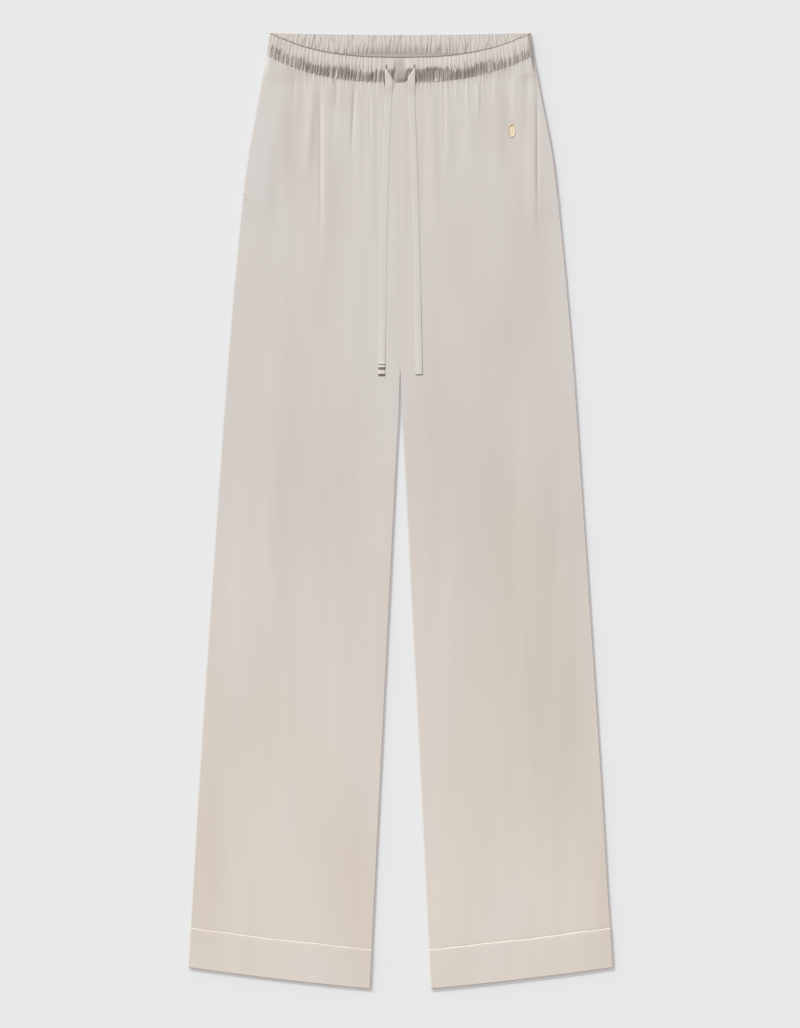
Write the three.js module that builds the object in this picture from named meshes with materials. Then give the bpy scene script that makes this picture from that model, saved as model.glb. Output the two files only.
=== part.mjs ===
// Wide-leg satin pants with a gathered waist and a drawstring, laid flat, front on top.
//
// Millimetres. +Z is up from the surface that the garment lies on, +Y points at the waist
// and +X at the wearer's left. The origin is on that surface, under the garment's middle.
// "down" is always the distance below the back waist edge, and "side" is +1 on the wearer's
// left and -1 on the right. A panel's "across" runs from 0 at the middle to 1 at the side.

import * as THREE from 'three';

// --- Driving dimensions ---------------------------------------------------------------

const LENGTH = 1118;             // back waist edge to the lowest point of the hems
const CLOTH = 1.5;               // wall of a leg panel
const SEAM = 0.3;                // space between two pieces that are sewn together

// Half the garment's width, down its side seam.
const SIDE_SEAM = [
  { down: 0, half: 152.4 },
  { down: 25, half: 156.2 },
  { down: 80, half: 166.4 },
  { down: 150, half: 179.1 },
  { down: 220, half: 187.0 },
  { down: 325, half: 196.6 },
  { down: 465, half: 207.6 },
  { down: 675, half: 222.0 },
  { down: 850, half: 233.6 },
  { down: 990, half: 242.0 },
  { down: 1093, half: 248.0 },
];

const CROTCH_DOWN = 392;         // where the two inner leg edges part
const HEM_HALF_SPACE = 36.2;     // from the centre line to a leg's inner edge at the hem
const HEM_OUTER_DOWN = 1093;     // the hem's corner at the side seam
const HEM_SAG = 1.3;             // the hem's middle below the line between its corners
const HEM_BAND = 44.6;           // height of the turned-up band
const HEM_BAND_WALL = 1.9;       // two layers of cloth
const PIPING = 1.8;              // width of the piping that shows
const PIPING_PROUD = 0.5;        // its crown over the cloth beside it

const WAIST_DIP = 28;            // how far the front casing's edge drops at the centre
const CASING_SIDE = 25;          // height of the casing at the side seam
const CASING_SEAM_DIP = 31.7;    // the front casing's seam at the centre, below its ends
const BACK_CASING = 23.8;        // height of the back casing
const BACK_DIP = 2.2;            // the back edge's drop at the centre
const CASING_RIM = 1.5;          // thickness of a casing at its two edges
const FRONT_PUFF = 3.6;          // rise of the front casing over the elastic
const BACK_PUFF = 1.6;
const CASING_END = 12;           // length over which a casing flattens towards its ends
const FRONT_GATHERS = 67;
const BACK_GATHERS = 58;
const FRONT_GATHER_RISE = 0.5;   // half the height from crease to puff
const BACK_GATHER_RISE = 0.32;
const PLAIN_CENTRE = 15;         // half width of the smooth cloth between the buttonholes

const POCKET_TOP = 54;           // the mouth of the in-seam pocket, along the side seam
const POCKET_BOTTOM = 187;
const POCKET_STRIP = 20;         // width of the strip of pocket under the mouth
const POCKET_WALL = 1.0;
const POCKET_INSET = 1.6;        // the front panel's edge in from the side at the mouth

const TAPE_WALL = 0.9;           // thickness of the drawstring's tape
const TAPE_CLEARANCE = 0.45;     // between the tape and the cloth it lies on

const PLATE_X = 130.4;           // the small metal plate on the wearer's left hip
const PLATE_DOWN = 114.4;
const PLATE_WIDE = 8.2;
const PLATE_TALL = 17;
const PLATE_THICK = 1.0;

// The folds that fall from the gathered waist, and the broad swells of the legs. A ridge
// stands at x, leans outwards by lean for each 100 mm down, and has gone where it fades.
const WAIST_FOLDS = [
  { x: -146, spread: 9, rise: 1.0, lean: 6, fades: 270 },
  { x: -121, spread: 4.5, rise: 0.9, lean: 2, fades: 120 },
  { x: -108, spread: 5, rise: 1.7, lean: 2, fades: 170 },
  { x: -86, spread: 5.5, rise: 2.5, lean: 1, fades: 320 },
  { x: -70, spread: 3.8, rise: 1.5, lean: 1, fades: 175 },
  { x: -59, spread: 3.8, rise: 1.8, lean: 1, fades: 165 },
  { x: -47, spread: 4, rise: 1.3, lean: 1, fades: 220 },
  { x: -34, spread: 4, rise: 1.0, lean: 1, fades: 280 },
  { x: 37, spread: 4.2, rise: 1.2, lean: 1, fades: 260 },
  { x: 54.5, spread: 4.6, rise: 1.6, lean: 1, fades: 190 },
  { x: 68, spread: 3.8, rise: 0.8, lean: 1, fades: 120 },
  { x: 82, spread: 4.4, rise: 1.7, lean: 1, fades: 165 },
  { x: 93, spread: 3.8, rise: 1.1, lean: 1, fades: 130 },
  { x: 113, spread: 5, rise: 1.5, lean: 2, fades: 190 },
  { x: 139, spread: 5, rise: 1.3, lean: 2, fades: 130 },
  { x: 154, spread: 3.6, rise: 1.5, lean: 1, fades: 300 },
];
const FOLD_START = -6;           // from the casing seam, where a fold begins to rise
const FOLD_RUN = 30;             // and how far below that it has its full height
const FOLD_HOLD = 0.4;           // share of its length over which it keeps that height

const LEG_SWELLS = [
  { x: -150, spread: 26, rise: 0.9, starts: 240, fades: 760 },
  { x: -78, spread: 22, rise: 0.8, starts: 330, fades: 900 },
  { x: -186, spread: 20, rise: 0.7, starts: 620, fades: 1040 },
  { x: 96, spread: 24, rise: 0.8, starts: 260, fades: 820 },
  { x: 168, spread: 24, rise: 0.9, starts: 380, fades: 980 },
  { x: 128, spread: 18, rise: 0.6, starts: 700, fades: 1050 },
];

// The drawstring's two ends, from the buttonhole to the turned end: the tape's middle.
const DRAWSTRINGS = {
  drawstring_right: [
    { x: -16.9, down: 42.6, wide: 1.6 },
    { x: -15.9, down: 46, wide: 4.0 },
    { x: -14.4, down: 50.5, wide: 6.8 },
    { x: -13.2, down: 55.5, wide: 8.9 },
    { x: -13.2, down: 62, wide: 8.6 },
    { x: -14.0, down: 78, wide: 8.0 },
    { x: -15.0, down: 100, wide: 8.0 },
    { x: -16.0, down: 128, wide: 8.0 },
    { x: -17.0, down: 156, wide: 8.0 },
    { x: -18.0, down: 186, wide: 8.0 },
    { x: -18.9, down: 216, wide: 8.0 },
    { x: -19.7, down: 250, wide: 8.0 },
    { x: -20.3, down: 284, wide: 8.0 },
    { x: -20.8, down: 318, wide: 8.1 },
    { x: -21.2, down: 350, wide: 8.2 },
    { x: -21.5, down: 376, wide: 8.2 },
    { x: -21.6, down: 401.4, wide: 8.2 },
  ],
  drawstring_left: [
    { x: 17.0, down: 41.8, wide: 1.6 },
    { x: 15.9, down: 45.5, wide: 4.0 },
    { x: 14.3, down: 50.5, wide: 6.8 },
    { x: 13.0, down: 55.5, wide: 8.9 },
    { x: 13.1, down: 62, wide: 8.6 },
    { x: 13.4, down: 78, wide: 8.0 },
    { x: 14.1, down: 100, wide: 8.0 },
    { x: 15.3, down: 128, wide: 8.0 },
    { x: 16.3, down: 156, wide: 8.0 },
    { x: 17.2, down: 186, wide: 8.0 },
    { x: 18.0, down: 216, wide: 8.0 },
    { x: 18.9, down: 250, wide: 8.0 },
    { x: 19.8, down: 284, wide: 8.0 },
    { x: 20.6, down: 318, wide: 8.1 },
    { x: 21.3, down: 350, wide: 8.2 },
    { x: 21.8, down: 376, wide: 8.2 },
    { x: 22.1, down: 400.3, wide: 8.2 },
  ],
};

// The bands of a tape's end, measured up from its tip.
const TURNED_ENDS = {
  drawstring_right: [
    { from: 0, to: 4.5, rise: 0.9 },
    { from: 6.5, to: 10.5, rise: 0.7 },
    { from: 12, to: 15.5, rise: 0.4 },
  ],
  drawstring_left: [
    { from: 0, to: 6.2, rise: 0.8 },
  ],
};

// --- Curves and tables ----------------------------------------------------------------

const mix = (from, to, share) => from + (to - from) * share;

// 0 up to start, 1 from end on, and a soft step between them.
function ease(start, end, value) {
  const share = Math.min(1, Math.max(0, (value - start) / (end - start)));
  return share * share * (3 - 2 * share);
}

// A smooth curve through a table's rows: its column at a distance down.
function alongTable(rows, down, column) {
  const last = rows.length - 1;
  let row = 0;
  while (row < last - 1 && down > rows[row + 1].down) {
    row += 1;
  }
  const slopeBetween = (a, b) => (rows[b][column] - rows[a][column]) / (rows[b].down - rows[a].down);
  const slopeAt = (index) => slopeBetween(Math.max(0, index - 1), Math.min(last, index + 1));
  const run = rows[row + 1].down - rows[row].down;
  const t = (down - rows[row].down) / run;
  const t2 = t * t;
  const t3 = t2 * t;
  return (2 * t3 - 3 * t2 + 1) * rows[row][column]
    + (t3 - 2 * t2 + t) * run * slopeAt(row)
    + (3 * t2 - 2 * t3) * rows[row + 1][column]
    + (t3 - t2) * run * slopeAt(row + 1);
}

const yAt = (down) => LENGTH / 2 - down;
const sideHalf = (down) => alongTable(SIDE_SEAM, down, 'half');

function innerHalf(down) {
  const share = Math.max(0, (down - CROTCH_DOWN) / (LENGTH - CROTCH_DOWN));
  return mix(SEAM / 2, HEM_HALF_SPACE, share);
}

const WAIST_HALF = sideHalf(0);
const CASING_HALF = sideHalf(CASING_SIDE);

const frontEdgeDown = (x) => WAIST_DIP * (1 - (Math.abs(x) / WAIST_HALF) ** 2.75);
const frontSeamDown = (x) => CASING_SIDE
  + CASING_SEAM_DIP * (1 - Math.min(1, Math.abs(x) / CASING_HALF) ** 2.65);
const backEdgeDown = (x) => BACK_DIP * (1 - (x / WAIST_HALF) ** 2);
const hemDown = (across) => mix(LENGTH, HEM_OUTER_DOWN, across)
  + 4 * HEM_SAG * across * (1 - across);
const bandEdgeDown = (across) => hemDown(across) - HEM_BAND;

// --- Heights of the front layer --------------------------------------------------------

// 1 along a casing, and 0 at its two ends, where front and back are joined.
const endTaper = (x, half) => ease(0, CASING_END, half - Math.abs(x));

const BAND_STEP = BACK_PUFF + BACK_GATHER_RISE + 0.4;

// The front layer climbs over the back casing and settles again below it.
function overBackCasing(x, down) {
  const settled = 1 - ease(BACK_CASING, BACK_CASING + 38, down);
  const towardsSide = mix(0.25, 1, ease(40, 85, Math.abs(x)));
  return BAND_STEP * settled * towardsSide * endTaper(x, sideHalf(down));
}

function overPocket(x, down) {
  const inside = sideHalf(down) - Math.abs(x);
  const along = ease(POCKET_TOP - 26, POCKET_TOP - 4, down)
    * (1 - ease(POCKET_BOTTOM + 4, POCKET_BOTTOM + 40, down));
  return (POCKET_WALL + SEAM) * along * (1 - ease(POCKET_STRIP + 4, POCKET_STRIP + 24, inside));
}

// How much of a ridge stands at a distance down, between its start and its end.
function standing(down, starts, run, fades) {
  const hold = mix(starts + run, fades, FOLD_HOLD);
  return ease(starts, starts + run, down) * (1 - ease(hold, fades, down));
}

const hump = (offset, spread) => Math.exp(-0.5 * (offset / spread) ** 2);

function folds(x, down) {
  let height = 0;
  for (const fold of WAIST_FOLDS) {
    const lean = Math.sign(fold.x) * fold.lean * Math.max(0, down - CASING_SIDE) / 100;
    const starts = frontSeamDown(fold.x) + FOLD_START;
    height += fold.rise * hump(x - fold.x - lean, fold.spread)
      * standing(down, starts, FOLD_RUN, fold.fades);
  }
  for (const swell of LEG_SWELLS) {
    const run = (swell.fades - swell.starts) / 3;
    height += swell.rise * hump(x - swell.x, swell.spread)
      * standing(down, swell.starts, run, swell.fades);
  }
  return height * ease(0, 8, sideHalf(down) - Math.abs(x)) * ease(0, 6, Math.abs(x) - innerHalf(down));
}

const frontUnder = (x, down) => CLOTH + SEAM
  + overBackCasing(x, down) + overPocket(x, down) + folds(x, down);

// --- Gathers ---------------------------------------------------------------------------

// Gathers are drawn up unevenly: the place of each one, as a share of the casing.
function gatherPlace(share) {
  const bunching = 0.020 * Math.sin(2 * Math.PI * 3.1 * share + 0.7)
    + 0.008 * Math.sin(2 * Math.PI * 8.3 * share + 2.2);
  return share + bunching * Math.sin(Math.PI * share);
}

// A narrow crease, then a round puff as wide as two thirds of the gather.
function gatherHeight(gathers, share) {
  const phase = gathers * share;
  const number = Math.round(phase);
  const strength = 0.8 + 0.2 * Math.sin(number * 2.39) * Math.cos(number * 0.83);
  return -strength * Math.cos(2 * Math.PI * phase);
}

// Round over the elastic, from one edge of the casing to the other.
const puffProfile = (tall) => Math.sin(Math.PI * tall) ** 0.75;

// --- Walls -----------------------------------------------------------------------------

// A closed wall. placeAt(across, along) gives x, down, under and over for a point of the
// grid. x grows with across and down with along. The top skin has every row and the
// underside only those named in underRows, which begin with the first row and end with
// the last.
function wallGeometry(columns, stops, placeAt, underRows = stops.map((stop, row) => row)) {
  const last = stops.length - 1;
  const positions = [];
  const over = [];
  const under = [];
  for (let row = 0; row <= last; row += 1) {
    over.push([]);
    under.push([]);
    for (let column = 0; column <= columns; column += 1) {
      const place = placeAt(column / columns, stops[row]);
      over[row].push(positions.length / 3);
      positions.push(place.x, yAt(place.down), place.over);
      if (underRows.includes(row)) {
        under[row].push(positions.length / 3);
        positions.push(place.x, yAt(place.down), place.under);
      }
    }
  }

  const triangles = [];
  const quad = (a, b, c, d) => triangles.push(a, b, c, a, c, d);
  for (let row = 0; row < last; row += 1) {
    for (let column = 0; column < columns; column += 1) {
      quad(over[row][column], over[row + 1][column], over[row + 1][column + 1], over[row][column + 1]);
    }
  }
  for (let step = 0; step < underRows.length - 1; step += 1) {
    const from = underRows[step];
    const to = underRows[step + 1];
    for (let column = 0; column < columns; column += 1) {
      quad(under[from][column], under[from][column + 1], under[to][column + 1], under[to][column]);
    }
    const left = [under[to][0]];
    const right = [under[from][columns]];
    for (let row = to; row >= from; row -= 1) {
      left.push(over[row][0]);
    }
    for (let row = from; row <= to; row += 1) {
      right.push(over[row][columns]);
    }
    for (const [rim, start] of [[left, under[from][0]], [right, under[to][columns]]]) {
      for (let corner = 0; corner < rim.length - 1; corner += 1) {
        triangles.push(start, rim[corner], rim[corner + 1]);
      }
    }
  }
  for (let column = 0; column < columns; column += 1) {
    quad(over[0][column], over[0][column + 1], under[0][column + 1], under[0][column]);
    quad(under[last][column], under[last][column + 1], over[last][column + 1], over[last][column]);
  }

  const geometry = new THREE.BufferGeometry();
  geometry.setAttribute('position', new THREE.Float32BufferAttribute(positions, 3));
  geometry.setIndex(triangles);
  geometry.computeVertexNormals();
  return geometry;
}

// A grid's across runs from -X to +X: a leg's runs from its inner edge to its side.
const legAcross = (side, across) => (side > 0 ? across : 1 - across);

const evenStops = (rows) => Array.from({ length: rows + 1 }, (unused, row) => row / rows);

// --- Materials --------------------------------------------------------------------------

const cloth = (color, roughness) => new THREE.MeshStandardMaterial({ color, roughness, metalness: 0 });

const materials = {
  satin: cloth(0xd8cfc8, 0.42),
  casing: cloth(0xcfc4ba, 0.42),
  hem: cloth(0xdbd1c8, 0.42),
  piping: cloth(0xeadfd6, 0.5),
  tape: cloth(0xd9d0ca, 0.42),
  plate: new THREE.MeshStandardMaterial({ color: 0xd9c08a, roughness: 0.3, metalness: 1 }),
};

const pants = new THREE.Group();

function sew(name, geometry, material) {
  const mesh = new THREE.Mesh(geometry, material);
  mesh.name = name;
  pants.add(mesh);
}

const LEGS = [
  { word: 'right', side: -1 },
  { word: 'left', side: 1 },
];

// --- Leg panels -------------------------------------------------------------------------

const PANEL_COLUMNS = 38;
const PANEL_ROWS = [0, 7, 15, 25, 38, 54, 74, 98, 128, 165, 210, 268, 338, 430, 540, 660, 780, 900, 1014];
const BACK_COLUMNS = 2;
const BACK_ROWS = 22;

// Where a panel's column crosses a distance down. The upper columns hang straight from the
// waist, so that folds keep their place, and the lower ones fan out with the leg.
function columnX(across, down, edgeHalf) {
  const inner = innerHalf(down);
  const hanging = mix(inner, CASING_HALF, across) + (edgeHalf - CASING_HALF) * across ** 4;
  const fanned = mix(inner, edgeHalf, across);
  return mix(hanging, fanned, ease(240, 640, down));
}

// The mouth of the pocket, where the front's edge lies inside the side seam.
const mouthInset = (down) => POCKET_INSET
  * ease(POCKET_TOP - 10, POCKET_TOP + 6, down)
  * (1 - ease(POCKET_BOTTOM - 6, POCKET_BOTTOM + 10, down));

const panelEndDown = (across) => bandEdgeDown(across) - 2 * SEAM - PIPING;

function frontPanel(side) {
  const fullRun = PANEL_ROWS.at(-1);
  const stops = PANEL_ROWS.map((run) => run / fullRun);
  return wallGeometry(PANEL_COLUMNS, stops, (across, along) => {
    const out = legAcross(side, across);
    const start = frontSeamDown(out * CASING_HALF) + SEAM;
    const down = mix(start, panelEndDown(out), along);
    const x = side * columnX(out, down, sideHalf(down) - mouthInset(down));
    const under = frontUnder(x, down);
    return { x, down, under, over: under + CLOTH };
  });
}

function backPanel(side) {
  return wallGeometry(BACK_COLUMNS, evenStops(BACK_ROWS), (across, along) => {
    const out = legAcross(side, across);
    const down = mix(BACK_CASING + SEAM, panelEndDown(out), along);
    const x = side * mix(innerHalf(down), sideHalf(down), out);
    return { x, down, under: 0, over: CLOTH };
  });
}

for (const { word, side } of LEGS) {
  sew(`front_${word}`, frontPanel(side), materials.satin);
  sew(`back_${word}`, backPanel(side), materials.satin);
}

// --- Waist casings ------------------------------------------------------------------------

const GATHER_COLUMNS = 3;
const CASING_ROWS = [0, 0.12, 0.36, 0.64, 0.88, 1];
const SCALLOP = 0.25;            // how far a gather pulls the casing's edge in

function frontCasingPlace(share, tall) {
  const reach = 2 * gatherPlace(share) - 1;
  const edgeX = reach * WAIST_HALF;
  const seamX = reach * CASING_HALF;
  const x = mix(edgeX, seamX, tall);
  const plain = mix(0.15, 1, ease(PLAIN_CENTRE - 4, PLAIN_CENTRE + 6, Math.abs(x)));
  const gather = gatherHeight(FRONT_GATHERS, share) * plain;
  const edgeDown = frontEdgeDown(edgeX) - SCALLOP * gather;
  const down = mix(edgeDown, frontSeamDown(seamX), tall);
  const under = frontUnder(x, down);
  const taper = endTaper(x, mix(WAIST_HALF, CASING_HALF, tall));
  const gathered = FRONT_GATHER_RISE * gather * mix(0.5, 1, puffProfile(tall)) * mix(0.3, 1, taper);
  const over = under + CASING_RIM + FRONT_PUFF * puffProfile(tall) * taper + gathered;
  return { x, down, under, over };
}

function backCasingPlace(share, tall) {
  const reach = 2 * gatherPlace(share) - 1;
  const gather = gatherHeight(BACK_GATHERS, share);
  const x = reach * mix(WAIST_HALF, sideHalf(BACK_CASING), tall);
  const edgeDown = backEdgeDown(x) + SCALLOP * (1 - gather);
  const down = mix(edgeDown, BACK_CASING, tall);
  const taper = endTaper(x, mix(WAIST_HALF, CASING_HALF, tall));
  const gathered = BACK_GATHER_RISE * gather * mix(0.5, 1, puffProfile(tall)) * taper;
  const over = CASING_RIM + BACK_PUFF * puffProfile(tall) * taper + gathered;
  return { x, down, under: 0, over };
}

const plainUnderside = [0, CASING_ROWS.length - 1];
sew(
  'waistband_front',
  wallGeometry(FRONT_GATHERS * GATHER_COLUMNS, CASING_ROWS, frontCasingPlace, plainUnderside),
  materials.casing,
);
sew(
  'waistband_back',
  wallGeometry(BACK_GATHERS * GATHER_COLUMNS, CASING_ROWS, backCasingPlace, plainUnderside),
  materials.casing,
);

// --- Hem bands and their piping ------------------------------------------------------------

const HEM_COLUMNS = 9;
const HEM_LAYERS = [
  { word: 'back', floor: 0 },
  { word: 'front', floor: HEM_BAND_WALL + SEAM },
];

// A strip across one leg, between two distances above the hem band's lower edge.
function hemStrip(side, upper, lower, stops, heightsAt) {
  return wallGeometry(HEM_COLUMNS, stops, (across, along) => {
    const out = legAcross(side, across);
    const down = hemDown(out) - mix(upper, lower, along);
    const x = side * mix(innerHalf(down), sideHalf(down), out);
    return { x, down, ...heightsAt(along) };
  });
}

for (const { word: leg, side } of LEGS) {
  for (const { word: layer, floor } of HEM_LAYERS) {
    const band = hemStrip(side, HEM_BAND, 0, [0, 0.5, 1], () => (
      { under: floor, over: floor + HEM_BAND_WALL }
    ));
    sew(`hem_band_${layer}_${leg}`, band, materials.hem);

    const pipingUpper = HEM_BAND + SEAM + PIPING;
    const piping = hemStrip(side, pipingUpper, HEM_BAND + SEAM, [0, 0.5, 1], (along) => ({
      under: floor,
      over: floor + CLOTH + (layer === 'front' ? PIPING_PROUD * Math.sin(Math.PI * along) : 0),
    }));
    sew(`hem_piping_${layer}_${leg}`, piping, materials.piping);
  }
}

// --- Pockets --------------------------------------------------------------------------------

const POCKET_COLUMNS = 2;
const POCKET_ROWS = 10;

function pocketStrip(side) {
  return wallGeometry(POCKET_COLUMNS, evenStops(POCKET_ROWS), (across, along) => {
    const out = legAcross(side, across);
    const down = mix(POCKET_TOP, POCKET_BOTTOM, along);
    const x = side * (sideHalf(down) - POCKET_STRIP * (1 - out));
    return { x, down, under: CLOTH + SEAM, over: CLOTH + SEAM + POCKET_WALL };
  });
}

for (const { word, side } of LEGS) {
  sew(`pocket_${word}`, pocketStrip(side), materials.satin);
}

// --- Drawstring ------------------------------------------------------------------------------

const TAPE_COLUMNS = 2;
const TAPE_STEP = 9;             // length of tape between two of its sections

// The highest that the cloth under a tape stands, on the casing or on the panel below it.
function clothTop(x, down) {
  const edge = frontEdgeDown(x);
  const seam = frontSeamDown(x);
  const under = frontUnder(x, down);
  if (down >= seam) {
    return under + CLOTH;
  }
  const tall = (down - edge) / (seam - edge);
  return under + CASING_RIM + FRONT_PUFF * puffProfile(tall) + FRONT_GATHER_RISE;
}

function turnedEnd(bands, fromTip) {
  let rise = 0;
  for (const band of bands) {
    rise = Math.max(rise, band.rise * (fromTip >= band.from && fromTip <= band.to ? 1 : 0));
  }
  return rise;
}

// Sections of a tape: closer where it turns on the casing and at its turned end.
function tapeStops(route, bands) {
  const start = route[0].down;
  const end = route.at(-1).down;
  const places = new Set();
  for (let down = start; down < end - 18; down += (down < 75 ? 2.6 : TAPE_STEP)) {
    places.add(down);
  }
  const fold = 0.25;
  for (const band of bands) {
    places.add(end - band.to - fold).add(end - band.to);
    places.add(end - band.from);
    if (band.from > 0) {
      places.add(end - band.from + fold);
    }
  }
  return [...places].sort((a, b) => a - b).map((down) => (down - start) / (end - start));
}

function tape(name) {
  const route = DRAWSTRINGS[name];
  const bands = TURNED_ENDS[name];
  const end = route.at(-1).down;
  return wallGeometry(TAPE_COLUMNS, tapeStops(route, bands), (across, along) => {
    const down = mix(route[0].down, end, along);
    const middle = alongTable(route, down, 'x');
    const wide = alongTable(route, down, 'wide');
    const near = [-0.5, 0, 0.5].map((share) => clothTop(middle + share * wide, down));
    const under = Math.max(...near) + TAPE_CLEARANCE;
    const x = middle + (across - 0.5) * wide;
    return { x, down, under, over: under + TAPE_WALL + turnedEnd(bands, end - down) };
  });
}

for (const name of Object.keys(DRAWSTRINGS)) {
  sew(name, tape(name), materials.tape);
}

// --- Hip plate ---------------------------------------------------------------------------------

function hipPlate() {
  const outline = new THREE.Shape();
  outline.absellipse(0, 0, PLATE_WIDE / 2, PLATE_TALL / 2, 0, 2 * Math.PI, false, 0);
  const bevel = 0.3;
  const plate = new THREE.ExtrudeGeometry(outline, {
    depth: PLATE_THICK - 2 * bevel,
    bevelEnabled: true,
    bevelThickness: bevel,
    bevelSize: bevel,
    bevelOffset: -bevel,
    bevelSegments: 1,
    curveSegments: 14,
  });
  let seat = 0;
  for (const xShare of [-0.5, 0, 0.5]) {
    for (const yShare of [-0.5, 0, 0.5]) {
      const down = PLATE_DOWN + yShare * PLATE_TALL;
      seat = Math.max(seat, frontUnder(PLATE_X + xShare * PLATE_WIDE, down) + CLOTH);
    }
  }
  return plate.translate(PLATE_X, yAt(PLATE_DOWN), seat + SEAM + bevel);
}

sew('hip_plate', hipPlate(), materials.plate);

export default pants;
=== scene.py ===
# %% [markdown]
# # Wide-leg satin pants, laid flat
# The pants lie on a pale floor, front side up, with the waist towards +Y and the wearer's
# left towards +X. Their construction is already settled in a fixed frame, so this lesson only
# dresses it: each plain solid is replaced by a thin, finely creased shell in the same place.
# The frame is loaded first, and its pieces stay in the scene; each one that is replaced is hidden.

# %% Load the frame
import math

import bpy
import numpy as np
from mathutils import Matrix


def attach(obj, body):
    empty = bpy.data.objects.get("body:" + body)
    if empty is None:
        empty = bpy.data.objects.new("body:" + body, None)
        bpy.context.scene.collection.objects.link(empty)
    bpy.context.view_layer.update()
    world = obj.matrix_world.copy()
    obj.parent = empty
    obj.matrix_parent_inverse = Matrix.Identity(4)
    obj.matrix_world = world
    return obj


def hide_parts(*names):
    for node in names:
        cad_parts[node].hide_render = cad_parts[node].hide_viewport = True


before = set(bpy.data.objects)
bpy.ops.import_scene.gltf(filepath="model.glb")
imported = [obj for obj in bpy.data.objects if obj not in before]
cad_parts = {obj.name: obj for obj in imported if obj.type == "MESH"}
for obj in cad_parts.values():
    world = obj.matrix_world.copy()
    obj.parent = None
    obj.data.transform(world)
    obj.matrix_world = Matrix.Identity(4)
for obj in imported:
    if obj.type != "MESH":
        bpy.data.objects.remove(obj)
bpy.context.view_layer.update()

# %% [markdown]
# ## The camera
# A garment that is laid flat is best seen from straight above through a long lens, so that
# the hems are not drawn larger than the waist. One could use an orthographic camera, but a
# real lens keeps a little depth at the edges. The lens follows from the camera's height and
# from the stretch of floor that it shows.

# %% Camera
VIEW_HEIGHT = 1.2028             # stretch of floor that the camera shows, from top to bottom
VIEW_MIDDLE = (-0.0003, -0.0035)
CAMERA_HEIGHT = 6.0
SENSOR = 0.036

camera = bpy.data.objects.new("camera", bpy.data.cameras.new("camera"))
bpy.context.scene.collection.objects.link(camera)
bpy.context.scene.camera = camera
camera.location = (*VIEW_MIDDLE, CAMERA_HEIGHT)
camera.data.sensor_width = SENSOR * 1000
camera.data.lens = 1000 * SENSOR * CAMERA_HEIGHT / VIEW_HEIGHT
print("lens:", round(camera.data.lens, 1), "mm")

# %% [markdown]
# ## Measures
# A pattern cutter describes a leg by its half width at a few heights. One could draw the whole
# outline with hundreds of points, but a short table with a smooth curve through it says the
# same, and then one number changes the cut. "Down" is always the distance below the waist's
# back edge, and all sizes are in metres, as everywhere in Blender.

# %% Tables and curves
def table(columns, *rows):
    """Rows of numbers under the names of their columns."""
    return [dict(zip(columns.split(), row)) for row in rows]


def mix(start, end, share):
    return start + (end - start) * share


def ease(start, end, value):
    """0 up to start, 1 from end on, and a soft step between them."""
    share = np.clip((value - start) / (end - start), 0, 1)
    return share * share * (3 - 2 * share)


def straight_curve(rows, place, column, key="down"):
    """A table's column, in straight lines from row to row, at a place along its key."""
    return np.interp(place, [row[key] for row in rows], [row[column] for row in rows])


def smooth_curve(rows, place, column, key="down"):
    """The same, with a smooth curve through the rows."""
    knots = np.array([row[key] for row in rows])
    values = np.array([row[column] for row in rows])
    before = np.maximum(np.arange(len(rows)) - 1, 0)
    after = np.minimum(np.arange(len(rows)) + 1, len(rows) - 1)
    slopes = (values[after] - values[before]) / (knots[after] - knots[before])
    row = np.clip(np.searchsorted(knots, place) - 1, 0, len(rows) - 2)
    run = knots[row + 1] - knots[row]
    t = (place - knots[row]) / run
    return ((2 * t**3 - 3 * t**2 + 1) * values[row] + (t**3 - 2 * t**2 + t) * run * slopes[row]
            + (3 * t**2 - 2 * t**3) * values[row + 1] + (t**3 - t**2) * run * slopes[row + 1])


print("half of a soft step from 0 to 1:", float(ease(0, 1, 0.5)))

# %% Outline
LENGTH = 1.118                   # back waist edge to the lowest point of the hems
CLOTH = 0.0015                   # wall of the frame's panels
SEAM = 0.0003                    # space between two of the frame's pieces

SIDE_SEAM = table(
    "down half",
    (0.000, 0.1524),
    (0.025, 0.1562),
    (0.080, 0.1664),
    (0.150, 0.1791),
    (0.220, 0.1870),
    (0.325, 0.1966),
    (0.465, 0.2076),
    (0.675, 0.2220),
    (0.850, 0.2336),
    (0.990, 0.2420),
    (1.093, 0.2480),
)
SEAM_TURN = table(  # how far each side seam turns over, outwards
    "down left right",
    (0.03, 0.0000,  0.0000),
    (0.13, 0.0008,  0.0000),
    (0.20, 0.0004, -0.0002),
    (0.40, 0.0010, -0.0002),
    (0.52, 0.0003, -0.0002),
    (1.00, 0.0003, -0.0002),
    (1.06, 0.0009, -0.0002),
)


def side_half(down, side=0):
    """Half the width at a distance down. side is -1 or 1 for one leg, with its uneven turn."""
    turn = straight_curve(SEAM_TURN, down, "right" if side < 0 else "left") * abs(side)
    return smooth_curve(SIDE_SEAM, down, "half") + turn


print("half width at waist, hip and hem:", [round(float(side_half(d)), 4) for d in (0, 0.22, 1.09)])

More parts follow.
